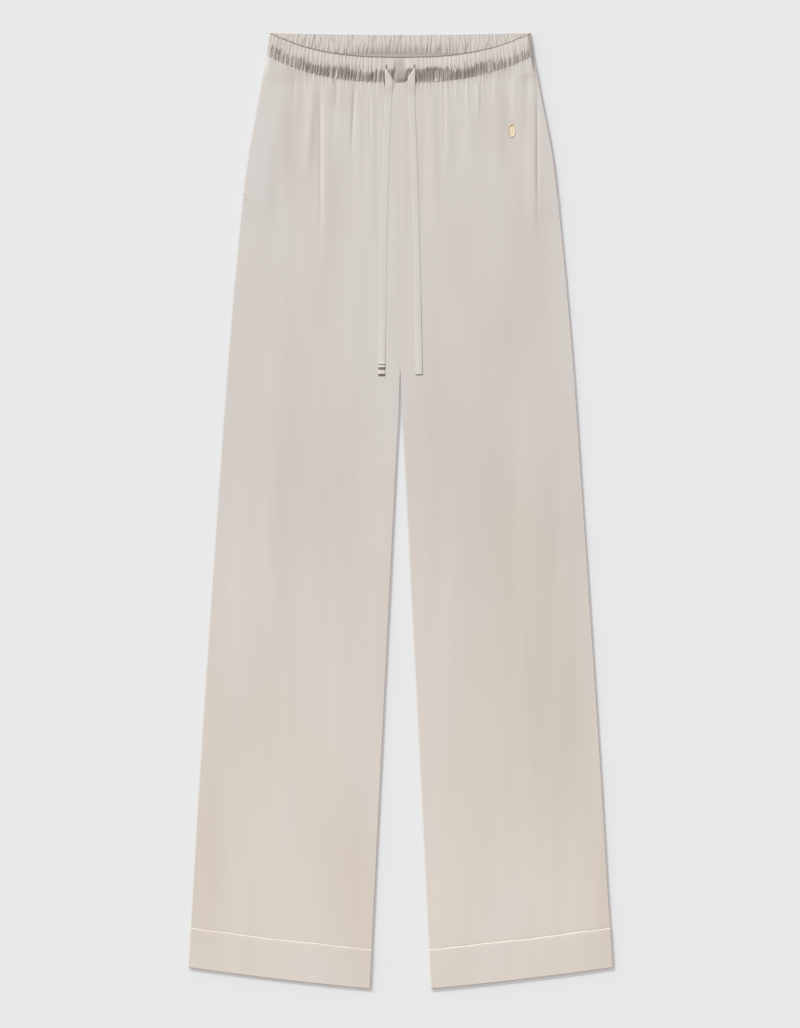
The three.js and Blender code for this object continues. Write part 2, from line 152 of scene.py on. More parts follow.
# %% Waist, crotch and hem lines
CROTCH_DOWN = 0.392              # where the two inner leg edges part
CROTCH_CLOSING = 0.7             # just below it the legs lie closer than a straight line would
HEM_HALF_SPACE = 0.0362          # from the centre line to a leg's inner edge at the hem
RIGHT_LEG_CLOSER = 0.0009        # the right leg's inner edge lies nearer to the centre line
HEM_OUTER_DOWN = 1.093
HEM_SAG = 0.0013
HEM_BAND = 0.0446
HEM_BAND_WALL = 0.0019
SEAM_WAVES = (0.0003, 0.0002)
PIPING = 0.0018
PANEL_REACH = 0.0003             # a panel's end closes the frame's gap to its piping
WAIST_DIP = 0.028                # how far the front casing's edge drops at the centre
WAIST_CURVE = 2.75               # above 2, a dip is flat at the centre and steep at its ends
CASING_SIDE = 0.025              # the casing's height at the side
CASING_SEAM_DIP = 0.0317
CASING_SEAM_CURVE = 2.65
BACK_CASING = 0.0238
BACK_DIP = 0.0022
WAIST_HALF = float(side_half(0))
CASING_HALF = float(side_half(CASING_SIDE))


def inner_half(down, side=1):
    """From the centre line to a leg's inner edge."""
    share = np.maximum(0, (down - CROTCH_DOWN) / (LENGTH - CROTCH_DOWN))
    closer = RIGHT_LEG_CLOSER * ease(0.02, 0.10, share) * (side < 0)
    return mix(0, HEM_HALF_SPACE, share) * mix(CROTCH_CLOSING, 1, ease(0.02, 0.12, share)) - closer


def front_edge_down(x):
    return WAIST_DIP * (1 - (np.abs(x) / WAIST_HALF) ** WAIST_CURVE)


def front_seam_down(x):
    share = np.minimum(1, np.abs(x) / CASING_HALF)
    return CASING_SIDE + CASING_SEAM_DIP * (1 - share ** CASING_SEAM_CURVE)


def back_edge_down(x):
    return BACK_DIP * (1 - (x / WAIST_HALF) ** 2)


def hem_down(across):
    return mix(LENGTH, HEM_OUTER_DOWN, across) + 4 * HEM_SAG * across * (1 - across)


def seam_wander(across):
    """The hem band's seam isn't quite straight: a long wave and a short one."""
    return SEAM_WAVES[0] * np.sin(13 * across + 0.5) + SEAM_WAVES[1] * np.sin(37 * across)


def panel_end_down(across):
    return hem_down(across) - HEM_BAND - 2 * SEAM - PIPING + seam_wander(across) + PANEL_REACH


def y_at(down):
    return LENGTH / 2 - down


print("casing at the centre:", round(float(front_seam_down(0) - front_edge_down(0)), 4))

# %% [markdown]
# ## How high the cloth lies
# The front lies on the back, climbs over the back casing at the sides, and falls in folds from
# the gathered waist. Simulated cloth would settle somewhere else each time the pattern changes,
# and these folds have known places. So each fold is a soft ridge, placed one by one: a bell curve
# across, which stands from one distance down to another.

# %% Folds
BACK_PUFF = 0.0016
BACK_GATHER_RISE = 0.00032
CASING_END = 0.005               # length over which a casing flattens towards its ends
POCKET_TOP = 0.054
POCKET_BOTTOM = 0.187
POCKET_STRIP = 0.020
POCKET_WALL = 0.0006
POCKET_INSET = 0.0005

WAIST_FOLDS = table(
    "x spread rise lean fades",
    (-0.1460, 0.0090, 0.0003, 0.02, 0.270),
    (-0.1210, 0.0050, 0.0005, 0.02, 0.120),
    (-0.1000, 0.0050, 0.0009, 0.07, 0.190),
    (-0.0860, 0.0060, 0.0010, 0.01, 0.320),
    (-0.0700, 0.0050, 0.0006, 0.01, 0.175),
    (-0.0590, 0.0045, 0.0006, 0.01, 0.165),
    (-0.0470, 0.0045, 0.0005, 0.01, 0.220),
    (-0.0340, 0.0045, 0.0004, 0.01, 0.280),
    ( 0.0370, 0.0050, 0.0005, 0.01, 0.260),
    ( 0.0545, 0.0050, 0.0006, 0.01, 0.190),
    ( 0.0680, 0.0045, 0.0004, 0.01, 0.120),
    ( 0.0820, 0.0050, 0.0006, 0.01, 0.165),
    ( 0.0930, 0.0045, 0.0004, 0.01, 0.130),
    ( 0.1130, 0.0055, 0.0006, 0.02, 0.190),
    ( 0.1390, 0.0055, 0.0006, 0.02, 0.130),
    ( 0.1540, 0.0045, 0.0007, 0.01, 0.300),
)
FOLD_START = -0.006              # a fold starts under the casing
FOLD_RUN = 0.030                 # and rises to its full height over this length
FOLD_HOLD = 0.4                  # the share of the rest of it that keeps that height
FLAT_SIDE = 0.008                # folds flatten this close to the side seam
FLAT_INNER = 0.006               # and this close to the inner edge

LEG_SWELLS = table(
    "x spread rise starts fades",
    (-0.150, 0.026, 0.0009, 0.240, 0.760),
    (-0.078, 0.022, 0.0008, 0.330, 0.900),
    (-0.186, 0.020, 0.0007, 0.620, 1.040),
    ( 0.096, 0.024, 0.0008, 0.260, 0.820),
    ( 0.168, 0.024, 0.0009, 0.380, 0.980),
    ( 0.128, 0.018, 0.0006, 0.700, 1.050),
)


def standing(down, starts, run, fades):
    """How much of a ridge stands at a distance down, between its start and its end."""
    hold = mix(starts + run, fades, FOLD_HOLD)
    return ease(starts, starts + run, down) * (1 - ease(hold, fades, down))


def hump(offset, spread):
    return np.exp(-0.5 * (offset / spread) ** 2)


def folds(x, down):
    height = 0
    for fold in WAIST_FOLDS:
        lean = np.sign(fold["x"]) * fold["lean"] * np.maximum(0, down - CASING_SIDE)
        starts = front_seam_down(fold["x"]) + FOLD_START
        height = height + (fold["rise"] * hump(x - fold["x"] - lean, fold["spread"])
                           * standing(down, starts, FOLD_RUN, fold["fades"]))
    for swell in LEG_SWELLS:
        run = (swell["fades"] - swell["starts"]) / 3
        height = height + (swell["rise"] * hump(x - swell["x"], swell["spread"])
                           * standing(down, swell["starts"], run, swell["fades"]))
    from_side = side_half(down) - np.abs(x)
    from_inner = np.abs(x) - inner_half(down)
    return height * ease(0, FLAT_SIDE, from_side) * ease(0, FLAT_INNER, from_inner)


print("folds from the waist:", len(WAIST_FOLDS), "swells in the legs:", len(LEG_SWELLS))

# %% The front layer's underside
CASING_SPACE = 0.0004            # air between the back casing's puffs and the front layer
BAND_STEP = BACK_PUFF + BACK_GATHER_RISE + CASING_SPACE
BAND_SETTLES = 0.038             # length over which the front comes down from the back casing
BAND_MIDDLE = 0.25               # the share of the step that is left at the centre,
BAND_CLIMB = (0.040, 0.085)      # and where, away from the centre, the rest of it comes in
POCKET_CLIMB = (-0.026, -0.004)  # the front climbs over a pocket's top, measured from that top
POCKET_DESCENT = (0.004, 0.040)  # comes down below its bottom,
POCKET_SLOPE = (0.004, 0.024)    # and slopes down beside its strip


def end_taper(x, half):
    """1 along a casing, and 0 at its two ends, where front and back are joined."""
    return ease(0, CASING_END, half - np.abs(x))


def over_back_casing(x, down):
    settled = 1 - ease(BACK_CASING, BACK_CASING + BAND_SETTLES, down)
    towards_side = mix(BAND_MIDDLE, 1, ease(*BAND_CLIMB, np.abs(x)))
    return BAND_STEP * settled * towards_side * end_taper(x, side_half(down))


def over_pocket(x, down):
    inside = side_half(down) - np.abs(x)
    along = ease(*POCKET_CLIMB, down - POCKET_TOP) * (1 - ease(*POCKET_DESCENT, down - POCKET_BOTTOM))
    under_front = 1 - ease(*POCKET_SLOPE, inside - POCKET_STRIP)
    return (POCKET_WALL + SEAM) * along * under_front


def front_under(x, down):
    return CLOTH + SEAM + over_back_casing(x, down) + over_pocket(x, down) + folds(x, down)


print("front layer at the hip:", round(float(front_under(-0.086, 0.1) * 1000), 2), "mm up")

# %% [markdown]
# ## Satin
# Satin is woven so that long threads float on its face along the leg. It throws light back
# like a dull mirror, pale where it faces the light and taupe where it turns away, and it has a
# faint grain of streaks. A part of metal in the shader gives that turning of the tone, which a
# plain diffuse cloth never has. Seen at a glancing angle satin is less of a mirror, so the part
# of metal drops there. The grain is noise, stretched along the leg, in the piece's own
# coordinates, so it stays on the cloth from every side.

# %% Shader helpers
def add_node(owner, kind, **settings):
    """A new node of a material or of the world, with its settings and its sockets' values."""
    node = owner.node_tree.nodes.new(kind)
    for key, value in settings.items():
        if key in node.inputs:
            node.inputs[key].default_value = value
        else:
            setattr(node, key, value)
    return node


def connect(owner, source, output, target, socket):
    owner.node_tree.links.new(source.outputs[output], target.inputs[socket])


def remap(owner, source, output, from_range, to_range, **settings):
    """A value between the ends of one range becomes one between the ends of another."""
    node = add_node(owner, "ShaderNodeMapRange", **settings)
    node.inputs["From Min"].default_value = from_range[0]
    node.inputs["From Max"].default_value = from_range[1]
    node.inputs["To Min"].default_value = to_range[0]
    node.inputs["To Max"].default_value = to_range[1]
    connect(owner, source, output, node, "Value")
    return node


def mix_colours(owner, factor, low, high):
    """Colour low where the factor is 0, and colour high where it is 1."""
    node = add_node(owner, "ShaderNodeMix", data_type="RGBA")
    node.inputs["A"].default_value = (*low, 1)
    node.inputs["B"].default_value = (*high, 1)
    connect(owner, factor, "Result", node, "Factor")
    return node


def new_material(name, colour=None, roughness=None):
    """A material and its shader. colour and roughness are for those that are plain."""
    material = bpy.data.materials.new(name)
    material.use_nodes = True
    shader = material.node_tree.nodes["Principled BSDF"]
    if colour:
        shader.inputs["Base Color"].default_value = (*colour, 1)
        shader.inputs["Roughness"].default_value = roughness
    return material, shader


def stretched_noise(material, across, along, detail=2.0):
    """Noise in the piece's own coordinates: so many patches for each metre across and along."""
    place = add_node(material, "ShaderNodeTexCoord")
    mapping = add_node(material, "ShaderNodeMapping")
    mapping.inputs["Scale"].default_value = (across, along, across)
    noise = add_node(material, "ShaderNodeTexNoise", Scale=1.0, Detail=detail)
    connect(material, place, "Object", mapping, "Vector")
    connect(material, mapping, "Vector", noise, "Vector")
    return noise


def noise_colours(material, noise, low, high):
    """Colour low in the noise's dark patches, colour high in its bright ones."""
    ramp = add_node(material, "ShaderNodeValToRGB")
    for element, position, colour in zip(ramp.color_ramp.elements, (0.3, 0.7), (low, high)):
        element.position = position
        element.color = (*colour, 1)
    connect(material, noise, "Fac", ramp, "Fac")
    return ramp


def multiply_colour(material, mixed, other):
    product = add_node(material, "ShaderNodeMix", data_type="RGBA", blend_type="MULTIPLY")
    product.inputs["Factor"].default_value = 1
    connect(material, mixed, "Result", product, "A")
    connect(material, other, "Color" if "Color" in other.outputs else "Result", product, "B")
    return product


print("node helpers:", add_node.__name__, remap.__name__, mix_colours.__name__)

# %% [markdown]
# ### Painted patches of shade and light
# Laid cloth is never quite level. Where it lies a little off level, a broad patch of the satin
# is lit a little less or more, with no edge to be seen. The slope is too gentle to model, so each
# patch is painted shade or painted light: a soft oval in the material, at its own place on the
# garment. The same oval, small and strong, paints the shade between the two ties and a painted
# highlight on the folds where the tapes start.

# %% Patches of painted shade and light
# painted shade and painted light, where the laid cloth lies a little off level
PAINTED_LAY_SHADES = table(
    "x y wide tall tone",
    (-0.117,  0.420, 0.030, 0.08, 0.962),
    (-0.108,  0.007, 0.062, 0.12, 0.960),
    ( 0.066,  0.048, 0.058, 0.14, 0.942),
    ( 0.146, -0.104, 0.060, 0.20, 0.945),
    ( 0.187, -0.268, 0.050, 0.14, 0.955),
    ( 0.150,  0.329, 0.028, 0.14, 0.950),
    (-0.234, -0.432, 0.030, 0.14, 0.945),
    (-0.041, -0.479, 0.030, 0.12, 0.960),
    ( 0.240, -0.455, 0.030, 0.14, 0.955),
    (-0.117,  0.130, 0.050, 0.09, 1.012),
    (-0.164, -0.220, 0.060, 0.13, 0.978),
    ( 0.140, -0.010, 0.050, 0.09, 0.990),
    (-0.222, -0.250, 0.028, 0.20, 0.965),
    (-0.070, -0.390, 0.045, 0.12, 0.965),
    ( 0.095, -0.290, 0.045, 0.17, 0.975),
    ( 0.110,  0.205, 0.032, 0.07, 0.965),
    ( 0.122,  0.455, 0.028, 0.04, 0.965),
    (-0.072,  0.485, 0.030, 0.02, 0.955),
)
# painted shade on the casing, between the two ties
CASING_PAINTED_SHADES = [dict(x=0.0008, y=0.5165, wide=0.0068, tall=0.032, tone=0.80)]
# painted highlights on the tapes, where they come out of the casing
TAPE_PAINTED_HIGHLIGHTS = [dict(x=side * 0.0148, y=0.510, wide=0.010, tall=0.016, tone=1.28) for side in (-1, 1)]
SHADE_WARMTH = (1.0, 0.985, 0.965)
SHADE_REACH = 1.5                # an oval has faded out at this many times its size


def painted_patch(material, place, shade):
    """A soft oval of painted shade or painted light, at its place on the garment, by its tone."""
    offset = add_node(material, "ShaderNodeVectorMath", operation="SUBTRACT")
    offset.inputs[1].default_value = (shade["x"], shade["y"], 0)
    connect(material, place, "Object", offset, 0)
    squeezed = add_node(material, "ShaderNodeVectorMath", operation="MULTIPLY")
    squeezed.inputs[1].default_value = (1 / shade["wide"], 1 / shade["tall"], 0)
    connect(material, offset, "Vector", squeezed, 0)
    reach = add_node(material, "ShaderNodeVectorMath", operation="LENGTH")
    connect(material, squeezed, "Vector", reach, 0)
    strength = remap(material, reach, "Value", (0, SHADE_REACH), (1, 0),
                     interpolation_type="SMOOTHSTEP")
    return mix_colours(material, strength, (1, 1, 1), [shade["tone"] * c for c in SHADE_WARMTH])


print("soft patches:", len(PAINTED_LAY_SHADES) + len(CASING_PAINTED_SHADES) + len(TAPE_PAINTED_HIGHLIGHTS))

# %% Satin
SATIN_GREY = (0.640, 0.616, 0.580)
SATIN_WARM = (0.716, 0.668, 0.604)
GREY_TO_WARM_LIGHT = (0.45, 1.0)       # painted light: from grey to a brighter warm cream, between these two distances down
COOL_CAST = (1.008, 1.010, 1.020)
WARM_CAST = (0.990, 0.982, 0.965)
CAST_PATCHES = (7, 3.5)          # patches of cast in each metre, across and along
STREAKS_ACROSS = 60              # faint streaks in each metre of width
STREAKS_ALONG = 4
CASING_SHADE_STREAKS = 560             # drawn up over elastic, the casings' streaks lie closer: streaks of painted shade for their fine creases
THREADS_ACROSS = 2600
THREADS_ALONG = 320
SATIN_METAL = 0.78
SATIN_ROUGHNESS = 0.38
GLANCE_RANGE = (0.18, 0.50)      # the glancing angles over which satin stops being a mirror
GLANCE_RANGE_CASING = (0.45, 0.80)   # later on the casing, whose puffs turn far round
GLANCE_METAL = 0.15


def sheen(material, shader, metal, glance_range):
    """How much of a mirror the satin is, from straight above and at a glancing angle."""
    glance = add_node(material, "ShaderNodeLayerWeight", Blend=0.5)
    gloss = remap(material, glance, "Facing", glance_range, (metal, metal * GLANCE_METAL),
                  interpolation_type="SMOOTHSTEP")
    connect(material, gloss, "Result", shader, "Metallic")
    shader.inputs["Roughness"].default_value = SATIN_ROUGHNESS
    shader.inputs["Sheen Weight"].default_value = 0.15
    shader.inputs["Sheen Roughness"].default_value = 0.4


def weave(material, shader):
    """The fine relief of the threads."""
    threads = stretched_noise(material, THREADS_ACROSS, THREADS_ALONG, detail=1)
    relief = add_node(material, "ShaderNodeBump", Strength=0.12, Distance=0.0002)
    connect(material, threads, "Fac", relief, "Height")
    connect(material, relief, "Normal", shader, "Normal")


def satin(name, tint=(1, 1, 1), metal=SATIN_METAL, streaks=(STREAKS_ACROSS, 0.015),
          painted_patches=PAINTED_LAY_SHADES, glance_range=GLANCE_RANGE):
    """Satin with painted light: grey at the waist, warm cream towards the hem. tint lightens or
    darkens it.
    """
    material, shader = new_material(name)
    sheen(material, shader, metal, glance_range)
    weave(material, shader)

    place = add_node(material, "ShaderNodeTexCoord")
    split = add_node(material, "ShaderNodeSeparateXYZ")
    connect(material, place, "Object", split, "Vector")
    # painted light: greyer and dimmer at the waist, warmer and brighter towards the hem
    painted_light_fall = remap(material, split, "Y", [y_at(down) for down in GREY_TO_WARM_LIGHT], (0, 1))
    grey, warm = [[c * t for c, t in zip(shade, tint)] for shade in (SATIN_GREY, SATIN_WARM)]
    colour = mix_colours(material, painted_light_fall, grey, warm)

    across, contrast = streaks
    noise = stretched_noise(material, across, STREAKS_ALONG, detail=2)
    grain = noise_colours(material, noise, (1 - contrast,) * 3, (1 + contrast,) * 3)
    cast = noise_colours(material, stretched_noise(material, *CAST_PATCHES, detail=1), COOL_CAST,
                         WARM_CAST)
    # the grain, the random cast, and the painted patches of shade and light
    for layer in [grain, cast] + [painted_patch(material, place, shade) for shade in painted_patches]:
        colour = multiply_colour(material, colour, layer)
    connect(material, colour, "Result", shader, "Base Color")
    return material


print("satin's part of metal, from above and at a glance:", SATIN_METAL, SATIN_METAL * GLANCE_METAL)

# %% The satins of the garment
satin_cloth = satin("satin")
# the casings' satins are darker copies of the satin: painted shade of the gathers
casing_cloth = satin("casing_satin", tint=(0.955, 0.93, 0.91), streaks=(CASING_SHADE_STREAKS, 0.04),
                     painted_patches=CASING_PAINTED_SHADES, glance_range=GLANCE_RANGE_CASING)
back_casing_cloth = satin("back_casing_satin", tint=(0.96, 0.945, 0.93),
                          streaks=(CASING_SHADE_STREAKS, 0.03), glance_range=GLANCE_RANGE_CASING)
hem_cloth = satin("hem_satin")
tape_cloth = satin("tape_satin", tint=(0.945, 0.935, 0.945), metal=0.25, painted_patches=TAPE_PAINTED_HIGHLIGHTS)
# painted shade, for the hollows of the tapes' turned ends and one shaded edge
tape_fold_shade = satin("tape_satin_painted_fold_shade", tint=(0.42, 0.385, 0.36), metal=0.25)
# tint above 1: a painted highlight that makes the piping paler than the satin
piping_cloth = satin("piping_satin", tint=(1.26, 1.26, 1.27), metal=0.30)
# the wrong side is duller, and it is also painted darker: painted shade inside the waist opening
inside_cloth_in_shade = satin("satin_wrong_side_in_shade", tint=(0.72, 0.69, 0.66))
# painted shade: a fine dark line along the front casing's upper edge
fold_shade = satin("satin_painted_fold_shade", tint=(0.34, 0.30, 0.27), glance_range=GLANCE_RANGE_CASING)
print("satins:", [m.name for m in bpy.data.materials])

# %% [markdown]
# ## From a grid to cloth
# Cloth has two faces and an edge. A plane with a Solidify modifier would do, but its edge can't
# be rounded as a fold is. Here each piece is a grid of points for its outer face, and the inner
# face is the same grid, moved inwards along the normals. Four rims close the wall.

# %% Wall maker
SHELL = 0.0005                   # thickness of the satin
HAIR = 0.0001                    # the least distance that is kept between two faces
SHARP_EDGE = math.radians(58)    # an edge that turns more than this isn't smoothed


def grid_normals(skin):
    """Upward normals of a grid whose x grows along its columns and whose y falls along rows."""
    by_row = np.gradient(skin, axis=0)
    by_column = np.gradient(skin, axis=1)
    normals = np.cross(by_row, by_column)
    return normals / np.linalg.norm(normals, axis=2, keepdims=True)


def closed_wall(over, under):
    """Vertices and faces of a wall between two grids of points, of rows by columns.

    The lower grid may have fewer rows. Each end is then closed by a single face.
    """
    columns = over.shape[1]
    top = np.arange(over.shape[0] * columns).reshape(-1, columns)
    low = np.arange(under.shape[0] * columns).reshape(-1, columns) + top.size

    def quads(a, b, c, d):
        return np.stack([a, b, c, d], -1).reshape(-1, 4).tolist()

    faces = quads(top[:-1, :-1], top[1:, :-1], top[1:, 1:], top[:-1, 1:])
    faces += quads(low[:-1, :-1], low[:-1, 1:], low[1:, 1:], low[1:, :-1])
    faces += quads(top[0, :-1], top[0, 1:], low[0, 1:], low[0, :-1])
    faces += quads(low[-1, :-1], low[-1, 1:], top[-1, 1:], top[-1, :-1])
    if len(top) == len(low):
        faces += quads(low[:-1, 0], low[1:, 0], top[1:, 0], top[:-1, 0])
        faces += quads(top[:-1, -1], top[1:, -1], low[1:, -1], low[:-1, -1])
    else:
        faces.append([*top[::-1, 0], *low[:, 0]])
        faces.append([*top[:, -1], *low[::-1, -1]])
    return np.concatenate([over.reshape(-1, 3), under.reshape(-1, 3)]), faces


def new_piece(name, vertices, faces, material, slot, replaced=()):
    """A smooth mesh that rides on the garment's one body."""
    mesh = bpy.data.meshes.new(name)
    mesh.from_pydata(np.asarray(vertices).tolist(), [], [list(map(int, face)) for face in faces])
    mesh.shade_smooth()
    mesh.set_sharp_from_angle(angle=SHARP_EDGE)
    mesh.materials.append(material)
    piece = bpy.data.objects.new(name, mesh)
    bpy.context.scene.collection.objects.link(piece)
    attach(piece, "root")
    if replaced:
        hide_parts(*replaced)
    return piece


def points(x, down, z):
    x, down, z = np.broadcast_arrays(x, down, z)
    return np.stack([x, y_at(down), z], -1)


def wall_area(piece):
    """Half the area of a closed wall, which is the area of its cloth."""
    return sum(face.area for face in piece.data.polygons) / 2


print("cloth is", SHELL * 1000, "mm thick")

# %% [markdown]
# ## Gathers
# The casing is drawn up over elastic, so its cloth stands in narrow puffs with a sharp crease
# between each two, closer here and wider there. A sine wave would look like a ribbed hose. The
# absolute value of a sine, raised to less than one, has the sharp crease and the round puff.
# Below the casing's seam the same gathers run out into the leg as short puckers.

# %% Where the gathers are
FRONT_GATHERS = 67
BACK_GATHERS = 58
PLAIN_CENTRE = (0.0155, 0.0205)  # from the centre: where the gathers begin, and are full
PLAIN_SHARE = 0.12               # what is left of them between the buttonholes
chance = np.random.default_rng(41)


def gather_edges(count):
    """Gathers are drawn up unevenly: where each one ends, from 0 to 1 along the casing."""
    widths = 0.55 + 0.9 * chance.random(count)
    return np.concatenate([[0], np.cumsum(widths)]) / widths.sum()


def gather_place(edges, number):
    """The place along a casing, from -1 to 1, of a gather's number, such as 3.5 in the fourth."""
    return 2 * np.interp(number, np.arange(len(edges)), edges) - 1


def gather_number(edges, place):
    return np.interp((place + 1) / 2, edges, np.arange(len(edges)))


def one_for_each(count, low, high, power=1):
    """A chance value for each gather, between low and high."""
    return low + (high - low) * chance.random(count + 1) ** power


front_edges = gather_edges(FRONT_GATHERS)
back_edges = gather_edges(BACK_GATHERS)
front_strength = one_for_each(FRONT_GATHERS, 0.55, 1.0)
back_strength = one_for_each(BACK_GATHERS, 0.35, 1.0)
pucker_reach = one_for_each(FRONT_GATHERS, 0.0025, 0.0110, power=2)


def plain_centre(x):
    """The cloth between the two buttonholes is almost smooth."""
    return mix(PLAIN_SHARE, 1, ease(*PLAIN_CENTRE, np.abs(x)))


print("front gathers:", FRONT_GATHERS, "back gathers:", BACK_GATHERS)

# %% Puckers under the casing
PUCKER_RISE = 0.0010
FINE_PUCKER_REACH = 0.0032       # the finer ones fade over this length
DRAPE_RISE = 0.00016
LONG_CREASES = table(
    "x spread rise lean starts fades",
    (-0.1370, 0.0070,  0.0006, 0.00, 0.062, 0.190),
    (-0.1245, 0.0012, -0.0004, 0.00, 0.050, 0.085),
    (-0.1012, 0.0030,  0.0004, 0.07, 0.062, 0.180),
    (-0.0932, 0.0017, -0.0008, 0.00, 0.050, 0.260),
    (-0.0745, 0.0014, -0.0006, 0.00, 0.046, 0.095),
    (-0.0525, 0.0014, -0.0007, 0.05, 0.048, 0.155),
    (-0.0355, 0.0010, -0.0003, 0.00, 0.056, 0.155),
    (-0.0270, 0.0020, -0.0002, 0.00, 0.060, 0.300),
    ( 0.0280, 0.0030, -0.0002, 0.00, 0.060, 0.280),
    ( 0.0517, 0.0011, -0.0004, 0.00, 0.056, 0.150),
    ( 0.0660, 0.0010,  0.0003, 0.00, 0.052, 0.085),
    ( 0.0786, 0.0012,  0.0003, 0.00, 0.054, 0.100),
    ( 0.0908, 0.0016,  0.0006, 0.00, 0.048, 0.105),
    ( 0.1110, 0.0012,  0.0003, 0.00, 0.050, 0.085),
    ( 0.1330, 0.0022,  0.0005, 0.00, 0.044, 0.110),
    ( 0.1495, 0.0030, -0.0005, 0.00, 0.044, 0.085),
    ( 0.1605, 0.0009, -0.0010, 0.00, 0.060, 0.240),
)


def fine_creases(number, tall):
    """Finer creases within the gathers. They wander, and come and go along the height."""
    wide = 2.31 * number + 0.9 * np.sin(1.7 * number + 0.6) + 0.5 * tall
    narrow = 4.17 * number + 1.1 * np.sin(0.83 * number) - 0.7 * tall
    comes = 0.55 + 0.45 * np.sin(2.9 * number + 5.0 * tall)
    goes = 0.55 + 0.45 * np.sin(4.3 * number - 6.1 * tall + 1.4)
    return (comes * (np.abs(np.sin(np.pi * wide)) ** 0.7 - 0.6)
            + 0.55 * goes * (np.abs(np.sin(np.pi * narrow)) ** 0.7 - 0.6))


def puckers(x, down):
    number = gather_number(front_edges, x / CASING_HALF)
    gather = np.floor(number).astype(int)
    run = np.maximum(0, down - front_seam_down(x))
    wave = np.abs(np.sin(np.pi * number)) ** 0.8
    fading = np.exp(-run / pucker_reach[gather])
    fine = 0.8 * fine_creases(number, 1.0) * np.exp(-run / FINE_PUCKER_REACH)
    return PUCKER_RISE * (front_strength[gather] * wave * fading + fine) * plain_centre(x)


def long_creases(x, down):
    height = 0
    for crease in LONG_CREASES:
        run = (crease["fades"] - crease["starts"]) / 4
        lean = np.sign(crease["x"]) * crease["lean"] * (down - crease["starts"])
        height = height + (crease["rise"] * hump(x - crease["x"] - lean, crease["spread"])
                           * standing(down, crease["starts"], run, crease["fades"]))
    return height


def drape(x, down):
    """The soft unevenness of thin cloth that lies flat: long waves that lean and cross."""
    return DRAPE_RISE * (np.sin(61 * x + 5.1 * down + 1.3) * np.sin(9.7 * down + 17 * x)
                         + 0.6 * np.sin(143 * x - 8.3 * down) * np.sin(14.9 * down + 2.0)
                         + 0.25 * np.sin(233 * x + 3.7 * down + 0.4) * np.sin(6.1 * down + 0.9))


print("creases placed by hand:", len(LONG_CREASES))

# %% [markdown]
# ## Leg panels
# Each front panel is one piece of cloth from the casing to the hem band. At the side and at the
# inner leg it rolls down over the seam to meet the back panel. A flat plane with a modifier for
# its thickness would end there like a cut sheet. Here the height follows an arc close to each
# edge, so that it looks like folded cloth. Along the pocket's mouth the front stays on top.

# %% Rolled edges
EDGE_ROLL = 0.0006               # radius of a side edge, where the front turns down
UNDER_ROLL = 0.0016              # and where the back turns up
SIDE_SEAM_HEIGHT = 0.0017        # the seam's height over the floor
GROOVE = 0.00040                 # depth of the casing's seam, and of finer seams
CENTRE_GROOVE = 0.00008
HEM_GROOVE = 0.00012
GROOVE_WIDTH = 0.0012
MOUTH_TOP = (-0.010, 0.006)      # round the pocket's top the front's edge leaves the seam,
MOUTH_BOTTOM = (-0.006, 0.010)   # and round its bottom it comes back


def rolled(height, level, from_edge, radius):
    """height, rolled down to level within a radius of the edge."""
    share = np.clip(1 - from_edge / radius, 0, 1)
    return mix(height, level, 1 - np.sqrt(1 - share**2))


def mouth_share(down):
    """1 along the pocket's mouth and 0 elsewhere."""
    return ease(*MOUTH_TOP, down - POCKET_TOP) * (1 - ease(*MOUTH_BOTTOM, down - POCKET_BOTTOM))


def grooved(height, from_seam, depth=GROOVE):
    return height - depth * np.exp(-np.maximum(0, from_seam) / GROOVE_WIDTH * 2)


def edge_stops(count):
    """Shares from 0 to 1, with extra ones close to both ends, for the rolled edges."""
    close = np.array([0, 0.0004, 0.0010, 0.0018, 0.003, 0.005, 0.009])
    return np.concatenate([close, np.linspace(0.016, 0.984, count), 1 - close[::-1]])


print("edges roll with a radius of", EDGE_ROLL * 1000, "mm")

# %% Front panels
PANEL_COLUMNS = 176
PANEL_RUN = 1.014                # a panel's length at the side
FAN_OUT = (0.240, 0.640)         # its threads hang straight above here, and fan out below
CROTCH_ROLL = 0.020              # length over which the centre seam becomes two inner edges
CROTCH_RADIUS = 0.0003           # of the roll there, which then grows to that of the sides
PANEL_RUNS = np.concatenate([
    [0, 0.0003, 0.0007, 0.0012, 0.0018, 0.0025, 0.0034],
    np.arange(0.0045, 0.020, 0.0014),
    np.arange(0.0215, 0.050, 0.0024),
    np.arange(0.053, 0.330, 0.0050),
    np.arange(0.337, PANEL_RUN - 0.004, 0.0095),
    [PANEL_RUN - 0.0025, PANEL_RUN - 0.001, PANEL_RUN],
])


def column_x(across, down, inner, edge_half):
    """Columns hang straight from the waist and fan out with the leg lower down."""
    hanging = mix(inner, CASING_HALF, across) + (edge_half - CASING_HALF) * across**4
    return mix(hanging, mix(inner, edge_half, across), ease(*FAN_OUT, down))


